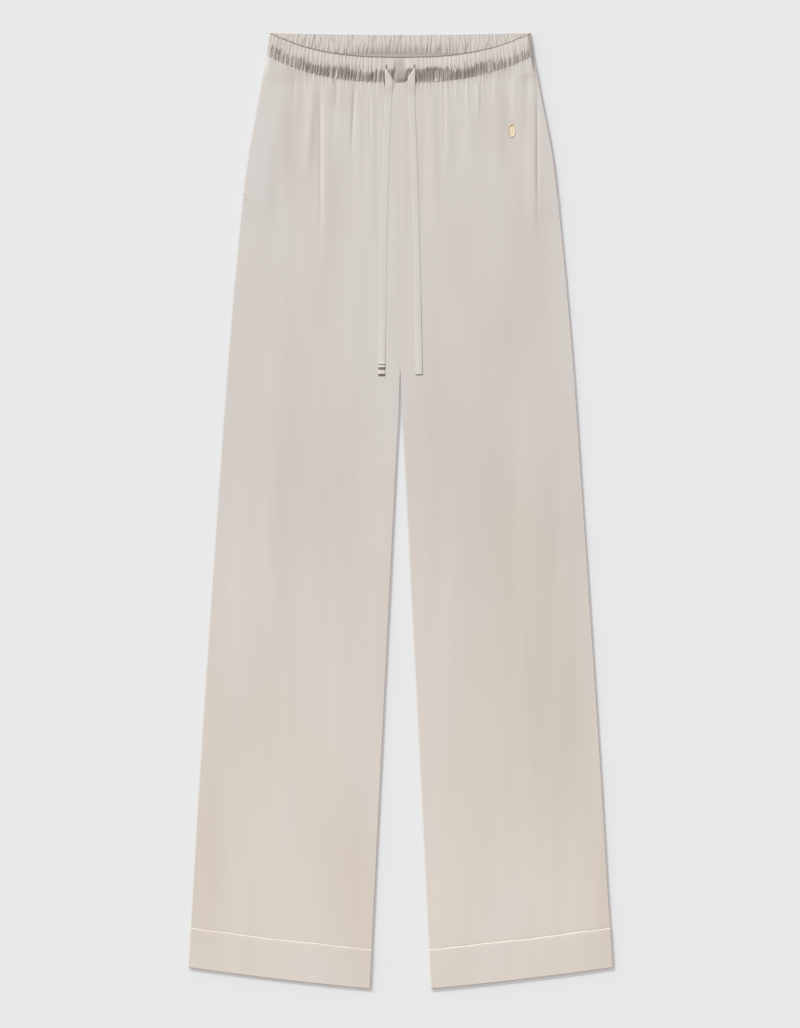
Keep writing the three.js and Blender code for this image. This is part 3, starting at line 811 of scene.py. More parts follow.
def front_panel(side):
    out = edge_stops(PANEL_COLUMNS)[None, ::side]
    along = (PANEL_RUNS / PANEL_RUN)[:, None]
    down = mix(front_seam_down(out * CASING_HALF), panel_end_down(out), along)
    mouth = mouth_share(down)
    edge = side_half(down, side) - POCKET_INSET * mouth
    inner = inner_half(down, side)
    x = side * column_x(out, down, inner, edge)
    under = front_under(x, down)
    height = under + CLOTH + puckers(x, down) + long_creases(x, down) + drape(x, down)

    from_side = edge - np.abs(x)
    from_inner = np.abs(x) - inner
    seam_level = mix(SIDE_SEAM_HEIGHT, under, mouth)
    height = rolled(height, seam_level, from_side, EDGE_ROLL)
    below_crotch = ease(CROTCH_DOWN, CROTCH_DOWN + CROTCH_ROLL, down)
    growing = ease(CROTCH_DOWN, CROTCH_DOWN + 8 * CROTCH_ROLL, down)
    inner_radius = mix(CROTCH_RADIUS, EDGE_ROLL, growing)
    height = rolled(height, mix(height, SIDE_SEAM_HEIGHT, below_crotch), from_inner, inner_radius)
    height = grooved(height, from_inner + 0.02 * below_crotch, CENTRE_GROOVE)
    height = grooved(height, PANEL_RUN * along)
    height = grooved(height, PANEL_RUN * (1 - along), HEM_GROOVE)
    skin = points(x, down, height)
    return closed_wall(skin, skin - SHELL * grid_normals(skin))


LEGS = [("right", -1), ("left", 1)]
for word, side in LEGS:
    piece = new_piece(f"satin_front_{word}", *front_panel(side), satin_cloth, "satin",
                      [f"front_{word}"])
    print(piece.name, "faces:", len(piece.data.polygons), "cloth:", round(wall_area(piece), 4), "m2")

# %% [markdown]
# The back panels carry the garment. Their outer face is the underside, flat on the floor and
# rolled up at the edges to meet the front, so here the grid is the lower face of the wall.

# %% Back panels
BACK_COLUMNS = 24
BACK_SHELL = 2 * SHELL           # one wide flat layer, drawn a little thicker
BACK_RUNS = np.concatenate([
    [0, 0.001, 0.002, 0.004, 0.008, 0.014],
    np.linspace(0.022, PANEL_RUN - 0.006, 84),
    [PANEL_RUN - 0.002, PANEL_RUN],
])


def back_panel(side):
    out = edge_stops(BACK_COLUMNS)[None, ::side]
    along = (BACK_RUNS / PANEL_RUN)[:, None]
    down = mix(BACK_CASING + SEAM, panel_end_down(out), along)
    inner, outer = inner_half(down, side), side_half(down, side)
    x = side * mix(inner, outer, out)
    floor_level = 0 * x
    meeting = SIDE_SEAM_HEIGHT - HAIR
    low = rolled(floor_level, meeting, outer - np.abs(x), UNDER_ROLL)
    below_crotch = ease(CROTCH_DOWN, CROTCH_DOWN + CROTCH_ROLL, down)
    inner_roll = rolled(floor_level, meeting, np.abs(x) - inner, UNDER_ROLL)
    low = np.maximum(low, inner_roll * below_crotch)
    skin = points(x, down, low)
    inside = skin + BACK_SHELL * grid_normals(skin)
    return closed_wall(inside, skin)


def show_wrong_side_in_shade(piece):
    """The inner face of a back panel, which shows in the waist opening, is the dull side, and it is
    painted darker for the shade that it lies in.
    """
    piece.data.materials.append(inside_cloth_in_shade)
    inner_points = len(piece.data.vertices) // 2
    for face in piece.data.polygons:
        if max(face.vertices) < inner_points:
            face.material_index = 1


for word, side in LEGS:
    piece = new_piece(f"satin_back_{word}", *back_panel(side), satin_cloth, "satin",
                      [f"back_{word}"])
    show_wrong_side_in_shade(piece)
    print(piece.name, "cloth:", round(wall_area(piece), 4), "m2")

# %% [markdown]
# ## Waist casings
# The front casing is a tunnel of satin over elastic, round across, so that its lower half turns
# away from the light. A bent tube with a bump texture would be quick, but its outline would stay
# smooth. So each gather is a real puff here, deepest at the seam. The creases wander a little,
# and some fade before they reach the upper edge. The roundness also changes along the casing,
# by a table. The back casing shows its inner face in the waist opening.

# %% Casing shapes
CASING_LEVELS = (0.0012, 0.0020)  # of its edge and of its seam, over the layer beneath
CASING_BULGE = table(
    "tall full middle",
    (0.00, 0.0000, 0.0000),
    (0.03, 0.0009, 0.0009),
    (0.08, 0.0015, 0.0014),
    (0.20, 0.0023, 0.0022),
    (0.35, 0.0029, 0.0028),
    (0.50, 0.0032, 0.0030),
    (0.60, 0.0029, 0.0028),
    (0.72, 0.0021, 0.0023),
    (0.86, 0.0011, 0.0015),
    (1.00, 0.0002, 0.0002),
)
FULLNESS = table(  # along the casing: how far it bulges, and how low its crown is
    "x bulge lower",
    (-0.148, 1.25, -0.16),
    (-0.125, 0.78, -0.02),
    (-0.105, 1.05, -0.04),
    (-0.070, 1.20, -0.02),
    (-0.022, 1.30, -0.02),
    ( 0.020, 1.65, -0.16),
    ( 0.040, 1.50, -0.12),
    ( 0.058, 1.25, -0.03),
    ( 0.085, 1.10, -0.03),
    ( 0.105, 0.70, -0.06),
    ( 0.128, 0.60,  0.00),
    ( 0.148, 0.60,  0.08),
)
MIDDLE_HALF = (0.0045, 0.0095)   # the smooth cloth between the ties, and where it has ended
MIDDLE_X = 0.0006                # their middle
CASING_TURN = 0.0045             # length over which a casing's end turns down
GATHER_RISE = 0.0015             # from crease to puff, at the seam
FINE_RISE = 0.00075              # of the finer creases within the gathers
CREASE_SHARPNESS = 0.75
GATHER_SHARES = (0.22, 1.1)      # of that rise, at the upper edge and at the seam
GATHER_GROWTH = (0.35, 0.95)     # and between which heights they grow
CROWN_WANDER = (0.05, 0.03)
RIDGE_SHARPNESS = 9
CASING_ROWS = 40
FRONT_STEPS = 26                 # columns for each gather
BACK_STEPS = 22
UNDER_ROWS = [0, 8, 16, 24, 32, 40]
casing_tall = (1 - np.cos(np.pi * np.linspace(0, 1, CASING_ROWS + 1)))[:, None] / 2


def casing_rise(x, tall, lower=0, bulge_share=1):
    """How high the casing stands over the layer beneath, without its gathers."""
    lower = lower + straight_curve(FULLNESS, x, "lower", key="x")
    shift = lower * 4 * tall * (1 - tall) * ease(0.20, 0.60, tall)
    place = np.clip(tall - shift, 0, 1)
    full = smooth_curve(CASING_BULGE, place, "full", key="tall")
    full = full * straight_curve(FULLNESS, x, "bulge", key="x")
    middle = smooth_curve(CASING_BULGE, tall, "middle", key="tall")
    bulge = mix(middle, full, ease(*MIDDLE_HALF, np.abs(x - MIDDLE_X)))
    return mix(*CASING_LEVELS, tall) + bulge * bulge_share


def crown_wavers(number):
    """The crown wavers from gather to gather, and narrow ridges keep their height for longer."""
    gather = np.floor(number).astype(int)
    wander = (CROWN_WANDER[0] * np.sin(0.53 * number + 1.0)
              + CROWN_WANDER[1] * np.sin(5.3 * number))
    ridge_number = 1.93 * number + 0.6 * np.sin(0.71 * number)
    ridges = np.abs(np.sin(np.pi * ridge_number)) ** RIDGE_SHARPNESS
    return (wander + np.interp(number, np.arange(len(crown_shift)), crown_shift)
            + ridge_reach[gather] * ridges)


def end_turn(x, half):
    return ease(0, CASING_TURN, half - np.abs(x))


def gather_wave(number, strength):
    """Puffs with a sharp crease between each two, about 0 on the whole."""
    wave = np.abs(np.sin(np.pi * number)) ** CREASE_SHARPNESS
    return strength[np.floor(number).astype(int)] * (wave - 0.5)


def slant(number, tall):
    """Sideways slant of the creases, from the middle of the casing to its edges."""
    return (tall - 0.5) * np.interp(number, np.arange(len(crease_slant)), crease_slant)


crown_shift = one_for_each(FRONT_GATHERS, -0.05, 0.05)
ridge_reach = one_for_each(FRONT_GATHERS, 0.00, 0.26, power=1.4)
crease_slant = one_for_each(FRONT_GATHERS, -0.0016, 0.0016)
print("crown of the front casing:", round(float(casing_rise(0.06, 0.52)) * 1000, 1), "mm")

# %% Casing grids
BUTTONHOLE_PULL = 0.0013
PULLS = (-0.0076, 0.0084)        # where the ties pull the casing in
PULL_SPREAD = 0.0015
CASING_LAP = 0.0007              # the casing's fold hangs over its seam
EDGE_SCALLOP = 0.0009            # a puff stands out past the front casing's upper edge,
SEAM_SCALLOP = 0.0006            # and past its seam,
BACK_SCALLOP = 0.0006            # and past the back casing's upper edge
BACK_GATHER = 0.0007             # from crease to puff, on the back casing
LEAST_WALL = 0.0004              # of a casing, in the bottom of its creases
ONTO_PANEL = (-0.0012, -0.0002)  # just above its seam, its underside climbs onto the panel


def tie_pulls(x, tall):
    """Beside each tie the cloth is pulled in, from the buttonhole down to the seam."""
    pull = sum(hump(x - tie, PULL_SPREAD) for tie in PULLS)
    return BUTTONHOLE_PULL * pull * ease(0.40, 0.85, tall)


def front_casing():
    number = np.linspace(0, FRONT_GATHERS, FRONT_GATHERS * FRONT_STEPS + 1)[None, :]
    reach = gather_place(front_edges, number)
    half = mix(WAIST_HALF, CASING_HALF, casing_tall)
    x = reach * half
    turn = end_turn(x, half)
    gathered = plain_centre(x)
    wave = gather_wave(number, front_strength) * gathered
    fine = FINE_RISE * fine_creases(number, casing_tall) * gathered
    edge_down = front_edge_down(reach * WAIST_HALF) - EDGE_SCALLOP * wave
    seam_down = front_seam_down(reach * CASING_HALF) + CASING_LAP + SEAM_SCALLOP * wave
    down = mix(edge_down, seam_down, casing_tall)
    level = front_under(x, down)
    rise = casing_rise(x, casing_tall, crown_wavers(number) * gathered, turn)
    growing = mix(*GATHER_SHARES, ease(*GATHER_GROWTH, casing_tall)) * mix(0.5, 1, turn)
    height = level + rise + growing * (GATHER_RISE * wave + fine) - tie_pulls(x, casing_tall)
    under = level + CLOTH * ease(*ONTO_PANEL, down - front_seam_down(x))
    x = x + slant(number, casing_tall) * turn * gathered
    over = points(x, down, np.maximum(height, under + LEAST_WALL))
    return over, points(x, down, under)[UNDER_ROWS]


def back_casing():
    number = np.linspace(0, BACK_GATHERS, BACK_GATHERS * BACK_STEPS + 1)[None, :]
    half = mix(WAIST_HALF, float(side_half(BACK_CASING)), casing_tall)
    x = gather_place(back_edges, number) * half
    turn = end_turn(x, half)
    wave = gather_wave(number, back_strength)
    fine = FINE_RISE * fine_creases(number + 3.3, casing_tall)
    down = mix(back_edge_down(x) - BACK_SCALLOP * wave, BACK_CASING - HAIR, casing_tall)
    depth = BACK_GATHER * mix(0.5, 1, ease(0.2, 0.85, casing_tall)) * mix(0.4, 1, turn)
    puff = BACK_PUFF * mix(1, 0.4, ease(0.03, 0.08, np.abs(x))) * turn
    rise = CASING_LEVELS[0] + puff * np.sin(np.pi * casing_tall)
    height = rise + depth * wave + 0.7 * fine * turn
    x = x + 1.5 * slant(number, casing_tall) * turn
    over = points(x, down, np.maximum(height, LEAST_WALL))
    return over, points(x, down, 0 * height)[UNDER_ROWS]


print("casing grid:", FRONT_GATHERS * FRONT_STEPS + 1, "by", CASING_ROWS + 1)

# %% Casings
LIP_ROWS = 5                     # rows of faces along the upper edge, painted in shade


def shade_lip(piece):
    """A fine line of painted shade along the front casing's upper edge, on its first rows of faces.
    """
    piece.data.materials.append(fold_shade)
    for face in piece.data.polygons[:LIP_ROWS * FRONT_GATHERS * FRONT_STEPS]:
        face.material_index = 1


for word, shape in [("front", front_casing), ("back", back_casing)]:
    cloth = casing_cloth if word == "front" else back_casing_cloth
    piece = new_piece(f"satin_waistband_{word}", *closed_wall(*shape()), cloth, "casing",
                      [f"waistband_{word}"])
    if word == "front":
        shade_lip(piece)
    print(piece.name, "faces:", len(piece.data.polygons), "cloth:", round(wall_area(piece), 4))

# %% [markdown]
# ## Hem bands and piping
# Each leg ends in a band of double satin, turned up, with a fine folded piping caught in its
# seam. The band's lower edge is a fold, so it is round. The piping could be a curve with a
# bevel, but its ends have to turn down with the band, to the side seam. So it is a thin tube of
# rings, half sunk in the seam. It catches the light as a pale line, and its satin is painted
# paler as well, a painted highlight.

# %% Hem bands
HEM_COLUMNS = 110
BAND_SHARES = np.concatenate([
    [0, 0.006, 0.015, 0.03, 0.05, 0.08],
    np.linspace(0.13, 0.93, 12),
    [0.96, 0.976, 0.988, 0.995, 1],
])
BAND_ROLL = 0.0006
BAND_PUCKER = 0.00012
BAND_PUCKER_REACH = 0.007
BAND_WAVE = 0.00010
SEAM_LAP = 0.0005                # the band closes over the piping by this much
BAND_MEETING = SIDE_SEAM_HEIGHT + 0.0002
BAND_EDGES = {                   # a band's two faces at its sides, over that level, and its roll
    "front": dict(top=0.0006, low=0.0001, low_roll=EDGE_ROLL),
    "back": dict(top=0.0000, low=-0.0005, low_roll=UNDER_ROLL),
}
HEM_LAYERS = [("back", 0.0), ("front", HEM_BAND_WALL + SEAM)]


def band_creases(x, down, from_seam):
    """Small puckers where the band is sewn on, and slight waves along it."""
    near_seam = np.exp(-from_seam / BAND_PUCKER_REACH)
    puckered = BAND_PUCKER * np.sin(610 * x + 1.1) * np.sin(97 * x) * near_seam
    return puckered + BAND_WAVE * np.sin(88 * x + 31 * down) * np.sin(41 * x - 25 * down + 0.7)


def hem_band(side, floor_level, layer):
    out = edge_stops(HEM_COLUMNS)[None, ::side]
    along = BAND_SHARES[:, None]
    down = hem_down(out) - (HEM_BAND + SEAM_LAP - seam_wander(out)) * (1 - along)
    inner, outer = inner_half(down, side), side_half(down, side)
    x = side * mix(inner, outer, out)
    from_seam = HEM_BAND * along
    from_fold = HEM_BAND * (1 - along)
    from_edges = np.minimum(outer - np.abs(x), np.abs(x) - inner)
    middle = floor_level + HEM_BAND_WALL / 2
    top = floor_level + HEM_BAND_WALL + band_creases(x, down, from_seam) * (layer == "front")
    low = floor_level + 0 * x
    edges = BAND_EDGES[layer]
    top = rolled(top, BAND_MEETING + edges["top"], from_edges, EDGE_ROLL)
    low = rolled(low, BAND_MEETING + edges["low"], from_edges, edges["low_roll"])
    top = rolled(top, middle + HAIR, from_fold, BAND_ROLL)
    low = rolled(low, middle - HAIR, from_fold, BAND_ROLL)
    top = grooved(top, from_seam, HEM_GROOVE)
    return closed_wall(points(x, down, np.maximum(top, low + HAIR)), points(x, down, low))


for word, side in LEGS:
    for layer, floor_level in HEM_LAYERS:
        shape = hem_band(side, floor_level, layer)
        piece = new_piece(f"satin_hem_{layer}_{word}", *shape, hem_cloth, "hem",
                          [f"hem_band_{layer}_{word}"])
    print(piece.name, "cloth:", round(wall_area(piece), 4), "m2")

# %% Piping
PIPING_SIDES = 10
PIPING_STATIONS = 150
PIPING_RADIUS = 0.00085
PIPING_SUNK = 0.00062            # its middle lies lower than a panel's wall by this much
PIPING_ENDS = (0.0015, 0.9985)   # from one side of the leg to the other
PIPING_WAVES = (0.00008, 0.00006)


def tube_faces(stations, sides):
    """Faces of a closed tube, from the first ring of points to the last."""
    index = np.arange(stations * sides).reshape(stations, sides)
    after = np.roll(index, -1, axis=1)
    faces = np.stack([index[:-1], after[:-1], after[1:], index[1:]], -1).reshape(-1, 4).tolist()
    faces.append(index[0, ::-1].tolist())
    faces.append(index[-1].tolist())
    return faces


def full_turn(sides):
    """The angles of a ring's points."""
    return 2 * np.pi * np.arange(sides) / sides


def round_tube(centres, radius, sides):
    """A closed tube round a line of centres that lies nearly flat."""
    ahead = np.gradient(centres, axis=0)
    ahead = ahead / np.linalg.norm(ahead, axis=1, keepdims=True)
    ups = np.tile([0.0, 0.0, 1.0], (len(centres), 1))
    outs = np.cross(ups, ahead)
    turn = full_turn(sides)
    rings = (centres[:, None, :] + radius * np.cos(turn)[None, :, None] * outs[:, None, :]
             + radius * np.sin(turn)[None, :, None] * ups[:, None, :])
    return rings.reshape(-1, 3), tube_faces(len(centres), sides)


def piping(side, floor_level, is_front):
    out = np.linspace(*PIPING_ENDS, PIPING_STATIONS)[::side]
    down = hem_down(out) - HEM_BAND - SEAM - PIPING / 2 + seam_wander(out)
    inner, outer = inner_half(down, side), side_half(down, side)
    x = side * mix(inner, outer, out)
    from_edges = np.minimum(outer - np.abs(x), np.abs(x) - inner)
    level = floor_level + (CLOTH - PIPING_SUNK if is_front else PIPING_RADIUS)
    uneven = PIPING_WAVES[0] * np.sin(700 * x) + PIPING_WAVES[1] * np.sin(1130 * x + 2)
    height = rolled(level + uneven * is_front, SIDE_SEAM_HEIGHT, from_edges, EDGE_ROLL)
    return round_tube(points(x, down, height), PIPING_RADIUS, PIPING_SIDES)


for word, side in LEGS:
    for layer, floor_level in HEM_LAYERS:
        piece = new_piece(f"hem_cord_{layer}_{word}", *piping(side, floor_level, layer == "front"),
                          piping_cloth, "piping", [f"hem_piping_{layer}_{word}"])
    print(piece.name, "faces:", len(piece.data.polygons))

# %% [markdown]
# ## Pockets
# The pocket opens in the side seam. All that shows of it is a sliver beside the front's edge.
# A whole bag could be modelled between the two panels, but nobody would see it. So only the
# strip in the mouth is there, between the front panel and the back one.

# %% Pocket strips
POCKET_ROLL = 0.0007
POCKET_EDGE = 0.0003             # what is left of the strip's thickness at its rolled edge
POCKET_ROWS = 40
POCKET_STOPS = np.concatenate([np.linspace(0, 0.9, 10), [0.95, 0.975, 0.99, 1]])


def pocket_strip(side):
    out = POCKET_STOPS[None, ::side]
    along = np.linspace(0, 1, POCKET_ROWS)[:, None]
    down = mix(POCKET_TOP, POCKET_BOTTOM, along)
    outer = side_half(down, side)
    x = side * (outer - POCKET_STRIP * (1 - out))
    low = CLOTH + SEAM + 0 * x
    top = rolled(low + POCKET_WALL, low + POCKET_EDGE, outer - np.abs(x), POCKET_ROLL)
    return closed_wall(points(x, down, top), points(x, down, low))


for word, side in LEGS:
    piece = new_piece(f"satin_pocket_{word}", *pocket_strip(side), satin_cloth, "satin",
                      [f"pocket_{word}"])
    print(piece.name, "cloth:", round(wall_area(piece), 4), "m2")

# %% [markdown]
# ## The drawstring
# The drawstring is a flat tape of satin. Its two ends come out of buttonholes in the casing,
# folded narrow, spread to their full width at the seam, and lie down the front. A curve with a
# bevel would give them one width, so the tape is a row of rings whose width follows a table.
# The ends are turned over and pressed, which leaves a few bands across them. The hollow beside
# each band is painted in shade.

# %% Tape routes
DRAWSTRINGS = {
    "right": table(
        "x down wide",
        (-0.0169, 0.0426, 0.0016),
        (-0.0159, 0.0460, 0.0040),
        (-0.0144, 0.0505, 0.0068),
        (-0.0132, 0.0555, 0.0089),
        (-0.0132, 0.0620, 0.0086),
        (-0.0140, 0.0780, 0.0080),
        (-0.0150, 0.1000, 0.0080),
        (-0.0160, 0.1280, 0.0080),
        (-0.0170, 0.1560, 0.0080),
        (-0.0180, 0.1860, 0.0080),
        (-0.0189, 0.2160, 0.0080),
        (-0.0197, 0.2500, 0.0080),
        (-0.0203, 0.2840, 0.0080),
        (-0.0208, 0.3180, 0.0081),
        (-0.0212, 0.3500, 0.0082),
        (-0.0215, 0.3760, 0.0082),
        (-0.0216, 0.4014, 0.0082),
    ),
    "left": table(
        "x down wide",
        (0.0170, 0.0418, 0.0016),
        (0.0159, 0.0455, 0.0040),
        (0.0143, 0.0505, 0.0068),
        (0.0130, 0.0555, 0.0089),
        (0.0131, 0.0620, 0.0086),
        (0.0134, 0.0780, 0.0080),
        (0.0141, 0.1000, 0.0080),
        (0.0153, 0.1280, 0.0080),
        (0.0163, 0.1560, 0.0080),
        (0.0172, 0.1860, 0.0080),
        (0.0180, 0.2160, 0.0080),
        (0.0189, 0.2500, 0.0080),
        (0.0198, 0.2840, 0.0080),
        (0.0206, 0.3180, 0.0081),
        (0.0213, 0.3500, 0.0082),
        (0.0218, 0.3760, 0.0082),
        (0.0221, 0.4003, 0.0082),
    ),
}
TURNED_ENDS = {                   # each turn of an end rises gently and falls steeply
    "right": table(
        "from_tip rise",
        (0.0000, 0.0000),
        (0.0027, 0.0014),
        (0.0073, 0.0007),
        (0.0106, 0.0020),
        (0.0128, 0.0014),
        (0.0147, 0.0016),
        (0.0180, 0.0006),
        (0.0700, 0.0000),
    ),
    "left": table(
        "from_tip rise",
        (0.0000, 0.0000),
        (0.0013, 0.0014),
        (0.0042, 0.0011),
        (0.0052, 0.0005),
        (0.0500, 0.0000),
    ),
}
FOLD_HOLLOWS = {                  # the steep side of each turn, painted in shade, from and to, from the tip
    "right": [(0.0000, 0.0030), (0.0076, 0.0106), (0.0131, 0.0146)],
    "left": [(0.0000, 0.0011), (0.0042, 0.0046)],
}
TAPE_WALLS = {"right": 0.0004, "left": 0.0006}
PAINTED_SHADE_EDGE = {"right": (0, 0), "left": (0.0042, 0.090)}   # one edge painted in shade, where it lies in its own shade, from the tip
PAINTED_SHADE_FROM = 0.0037                # and from the tape's middle outwards
print("route points:", {word: len(route) for word, route in DRAWSTRINGS.items()})

# %% Tape shapes
TAPE_STEP = 0.0015
TIP_STEP = 0.00025
TIP_LENGTH = 0.024
TAPE_SIDES = 20
TAPE_SQUARENESS = (0.55, 0.80)   # across and up: below 1 an oval section is nearly a flat strip
TAPE_CLEARANCE = 0.00020
TAPE_SMOOTHING = 6               # passes that take the creases out of what it lies on
TAPE_SPREAD = (-0.5, -0.25, 0, 0.25, 0.5)     # places across it that rest on the cloth
TAPE_FOLD = 0.0011               # folded double, it is thicker where it comes out,
TAPE_UNFOLDS = 0.016             # and flat again after this length
BRIDGE_END = 0.072               # the tape bridges the hollow from the casing to here


def cloth_top(x, down):
    """The highest that the cloth under a tape stands, on the casing or on the panel."""
    under = front_under(x, down)
    tall = (down - front_edge_down(x)) / (front_seam_down(x) - front_edge_down(x))
    on_casing = under + casing_rise(x, np.clip(tall, 0, 1))
    return np.where(tall < 1, on_casing, under + CLOTH)


def smoothed(values, passes):
    """values with their hollows filled a little at each pass."""
    for _ in range(passes):
        padded = np.concatenate([values[:1], values, values[-1:]])
        values = np.maximum(values, (padded[:-2] + padded[1:-1] + padded[2:]) / 3)
    return values


def tape(word):
    """Rings of a tape from its buttonhole to its tip, and the line of their centres."""
    route = DRAWSTRINGS[word]
    start, end = route[0]["down"], route[-1]["down"]
    body_end = end - TIP_LENGTH
    body = np.linspace(start, body_end, round((body_end - start) / TAPE_STEP) + 1)
    tip = np.linspace(body_end, end, round(TIP_LENGTH / TIP_STEP) + 1)
    down = np.concatenate([body, tip[1:]])
    x = smooth_curve(route, down, "x")
    wide = smooth_curve(route, down, "wide")
    beneath = np.max([cloth_top(x + share * wide, down) for share in TAPE_SPREAD], 0)
    bridge = np.interp(down, [start, BRIDGE_END], [beneath[0], float(cloth_top(x[0], BRIDGE_END))])
    base = smoothed(np.maximum(beneath, bridge), TAPE_SMOOTHING) + TAPE_CLEARANCE
    folded = TAPE_FOLD * (1 - ease(start, start + TAPE_UNFOLDS, down))
    turned = straight_curve(TURNED_ENDS[word], end - down, "rise", key="from_tip")
    thick = TAPE_WALLS[word] + folded + turned
    turn = full_turn(TAPE_SIDES)
    across = np.sign(np.cos(turn)) * np.abs(np.cos(turn)) ** TAPE_SQUARENESS[0]
    over = np.sign(np.sin(turn)) * np.abs(np.sin(turn)) ** TAPE_SQUARENESS[1]
    ring_x = x[:, None] + wide[:, None] / 2 * across
    ring_z = (base + thick / 2)[:, None] + thick[:, None] / 2 * over
    rings = points(ring_x, down[:, None], ring_z)
    centres = points(x, down, base + thick / 2)
    return rings.reshape(-1, 3), tube_faces(len(down), TAPE_SIDES), centres


def shade_hollows(piece, word):
    """The hollow beside each turn of the end is painted in shade, and so is a folded edge that lies
    in its own shade.
    """
    route = DRAWSTRINGS[word]
    piece.data.materials.append(tape_fold_shade)
    for face in piece.data.polygons:
        down = LENGTH / 2 - face.center.y
        from_tip = route[-1]["down"] - down
        from_middle = face.center.x - float(smooth_curve(route, down, "x"))
        in_hollow = any(start <= from_tip <= end for start, end in FOLD_HOLLOWS[word])
        in_edge = PAINTED_SHADE_EDGE[word][0] <= from_tip <= PAINTED_SHADE_EDGE[word][1] and from_middle > PAINTED_SHADE_FROM
        face.material_index = int(in_hollow or in_edge)


for word, _ in LEGS:
    vertices, faces, centres = tape(word)
    piece = new_piece(f"tape_{word}", vertices, faces, tape_cloth, "tape", [f"drawstring_{word}"])
    shade_hollows(piece, word)

# %% [markdown]
# ## Stitching
# Stitches are short lengths of thread. They could be painted on the cloth, but a thread stands
# a little proud and casts a fine shadow. So each is drawn as a line of points and given a round
# section. The buttonholes are slits with a whipped rim. A row of stitches runs along the
# casing's seam. A bar tack holds the lower end of each pocket's mouth, where a hand pulls on it.

# %% Thread
thread, _ = new_material("thread", (0.60, 0.55, 0.50), 0.6)
seam_thread, _ = new_material("seam_thread", (0.42, 0.37, 0.33), 0.7)
# painted shade: the slit is a dark sheet where the opening lies in shade
slit_shade, _ = new_material("buttonhole_slit_painted_shade", (0.16, 0.135, 0.12), 0.9)
THREAD_RADIUS = 0.00024
THREAD_SIDES = 6
HALVES = np.array([-0.5, 0.0, 0.5])    # along a stitch: one end, its middle, the other end


def stitch_mesh(name, lines, radius, material, slot):
    """One mesh for many short threads, each of them a list of points."""
    vertices, faces = [], []
    for line in lines:
        line = np.asarray(line, float)
        ring, ring_faces = round_tube(line, radius, THREAD_SIDES)
        faces += [[v + len(vertices) for v in face] for face in ring_faces]
        vertices += ring.tolist()
    return new_piece(name, vertices, faces, material, slot)


print("thread radius:", THREAD_RADIUS * 1000, "mm")

# %% Buttonholes
HOLE_TOP = 0.0372
HOLE_BOTTOM = 0.0424
HOLE_HALF = 0.0006
HOLES = [("right", -0.0162), ("left", 0.0166)]
RIM_THREADS = 17
RIM_RADIUS = 0.00022
RIM_OUT = np.array([0.0, 0.0004, 0.0008])      # a rim's thread arches from the slit outwards
RIM_UP = np.array([0.0, 0.00045, 0.0001])
SLIT_ROWS = 9
SLIT_RISE = 0.00015
SLIT_WALL = 0.0004


def buttonhole(middle):
    """Threads that whip the rim of a slit, side by side from its top to its bottom."""
    lines = []
    for down in np.linspace(HOLE_TOP, HOLE_BOTTOM, RIM_THREADS):
        level = float(cloth_top(middle, down))
        for hand in (-1, 1):
            lines.append(points(middle + hand * (HOLE_HALF + RIM_OUT), down, level + RIM_UP))
    return lines


def slit(middle):
    """A dark sheet of painted shade in the opening between the two sides of the rim."""
    down = np.linspace(HOLE_TOP, HOLE_BOTTOM, SLIT_ROWS)[:, None]
    x = middle + 2 * HALVES[None, :] * HOLE_HALF
    top = points(x, down, cloth_top(x, down) + SLIT_RISE)
    return closed_wall(top, top - (0, 0, SLIT_WALL))


for word, middle in HOLES:
    stitch_mesh(f"buttonhole_rim_{word}", buttonhole(middle), RIM_RADIUS, thread, "casing")
    new_piece(f"buttonhole_slit_painted_shade_{word}", *slit(middle), slit_shade, "casing")
print("buttonholes:", len(HOLES))

# %% Casing seam stitches
SEAM_STITCH = 0.0015
SEAM_PITCH = 0.0027
SEAM_STITCH_ENDS = 0.003         # the row stops this far from the side seams
SEAM_STITCH_BELOW = 0.0005       # and runs this far below the casing's fold
SEAM_THREAD_RADIUS = 0.00016
ASKEW = 0.0004
BITE = np.array([-0.0001, 0.0001, -0.0001])    # each stitch dips into the cloth at its ends


def casing_stitches():
    """Short threads just under the casing, each drawn a little askew by the gathers."""
    lines = []
    row_half = CASING_HALF - SEAM_STITCH_ENDS
    for middle in np.arange(-row_half, row_half, SEAM_PITCH):
        askew = ASKEW * math.sin(2900 * middle)
        x = middle + HALVES * SEAM_STITCH
        down = front_seam_down(x) + CASING_LAP + SEAM_STITCH_BELOW + 2 * askew * HALVES
        top = front_under(x, down) + CLOTH + puckers(x, down) + BITE
        lines.append(points(x, down, top))
    return lines


seam_row = casing_stitches()
stitch_mesh("casing_stitches", seam_row, SEAM_THREAD_RADIUS, seam_thread, "casing")
print("stitches along the casing:", len(seam_row))

# %% Bar tacks
TACKS = table(
    "x down wide",
    (-0.1818, 0.1884, 0.0014),
    (-0.1800, 0.1948, 0.0042),
    ( 0.1828, 0.1884, 0.0014),
    ( 0.1838, 0.1948, 0.0026),
)
TACK_THREADS = (-0.0004, 0.0000, 0.0004)
TACK_HEIGHT = 0.0003


def tack_threads(tack):
    """Short threads across the seam, one below the other."""
    x = tack["x"] + HALVES * tack["wide"]
    lines = []
    for offset in TACK_THREADS:
        top = front_under(x, tack["down"]) + CLOTH + drape(x, tack["down"]) + TACK_HEIGHT
        lines.append(points(x, tack["down"] + offset, top))
    return lines


tacks = [line for tack in TACKS for line in tack_threads(tack)]
stitch_mesh("pocket_bar_tacks", tacks, THREAD_RADIUS, thread, "satin")
print("bar tacks:", len(TACKS))

# %% [markdown]
# ## The plate
# A small oval plate of pale metal is sewn to the left hip. It is plain, slightly domed, and has
# a raised rim, so that it catches the light on its edge. A squashed sphere would have no rim, so
# the plate is made of rings, each of which is one step of its profile.

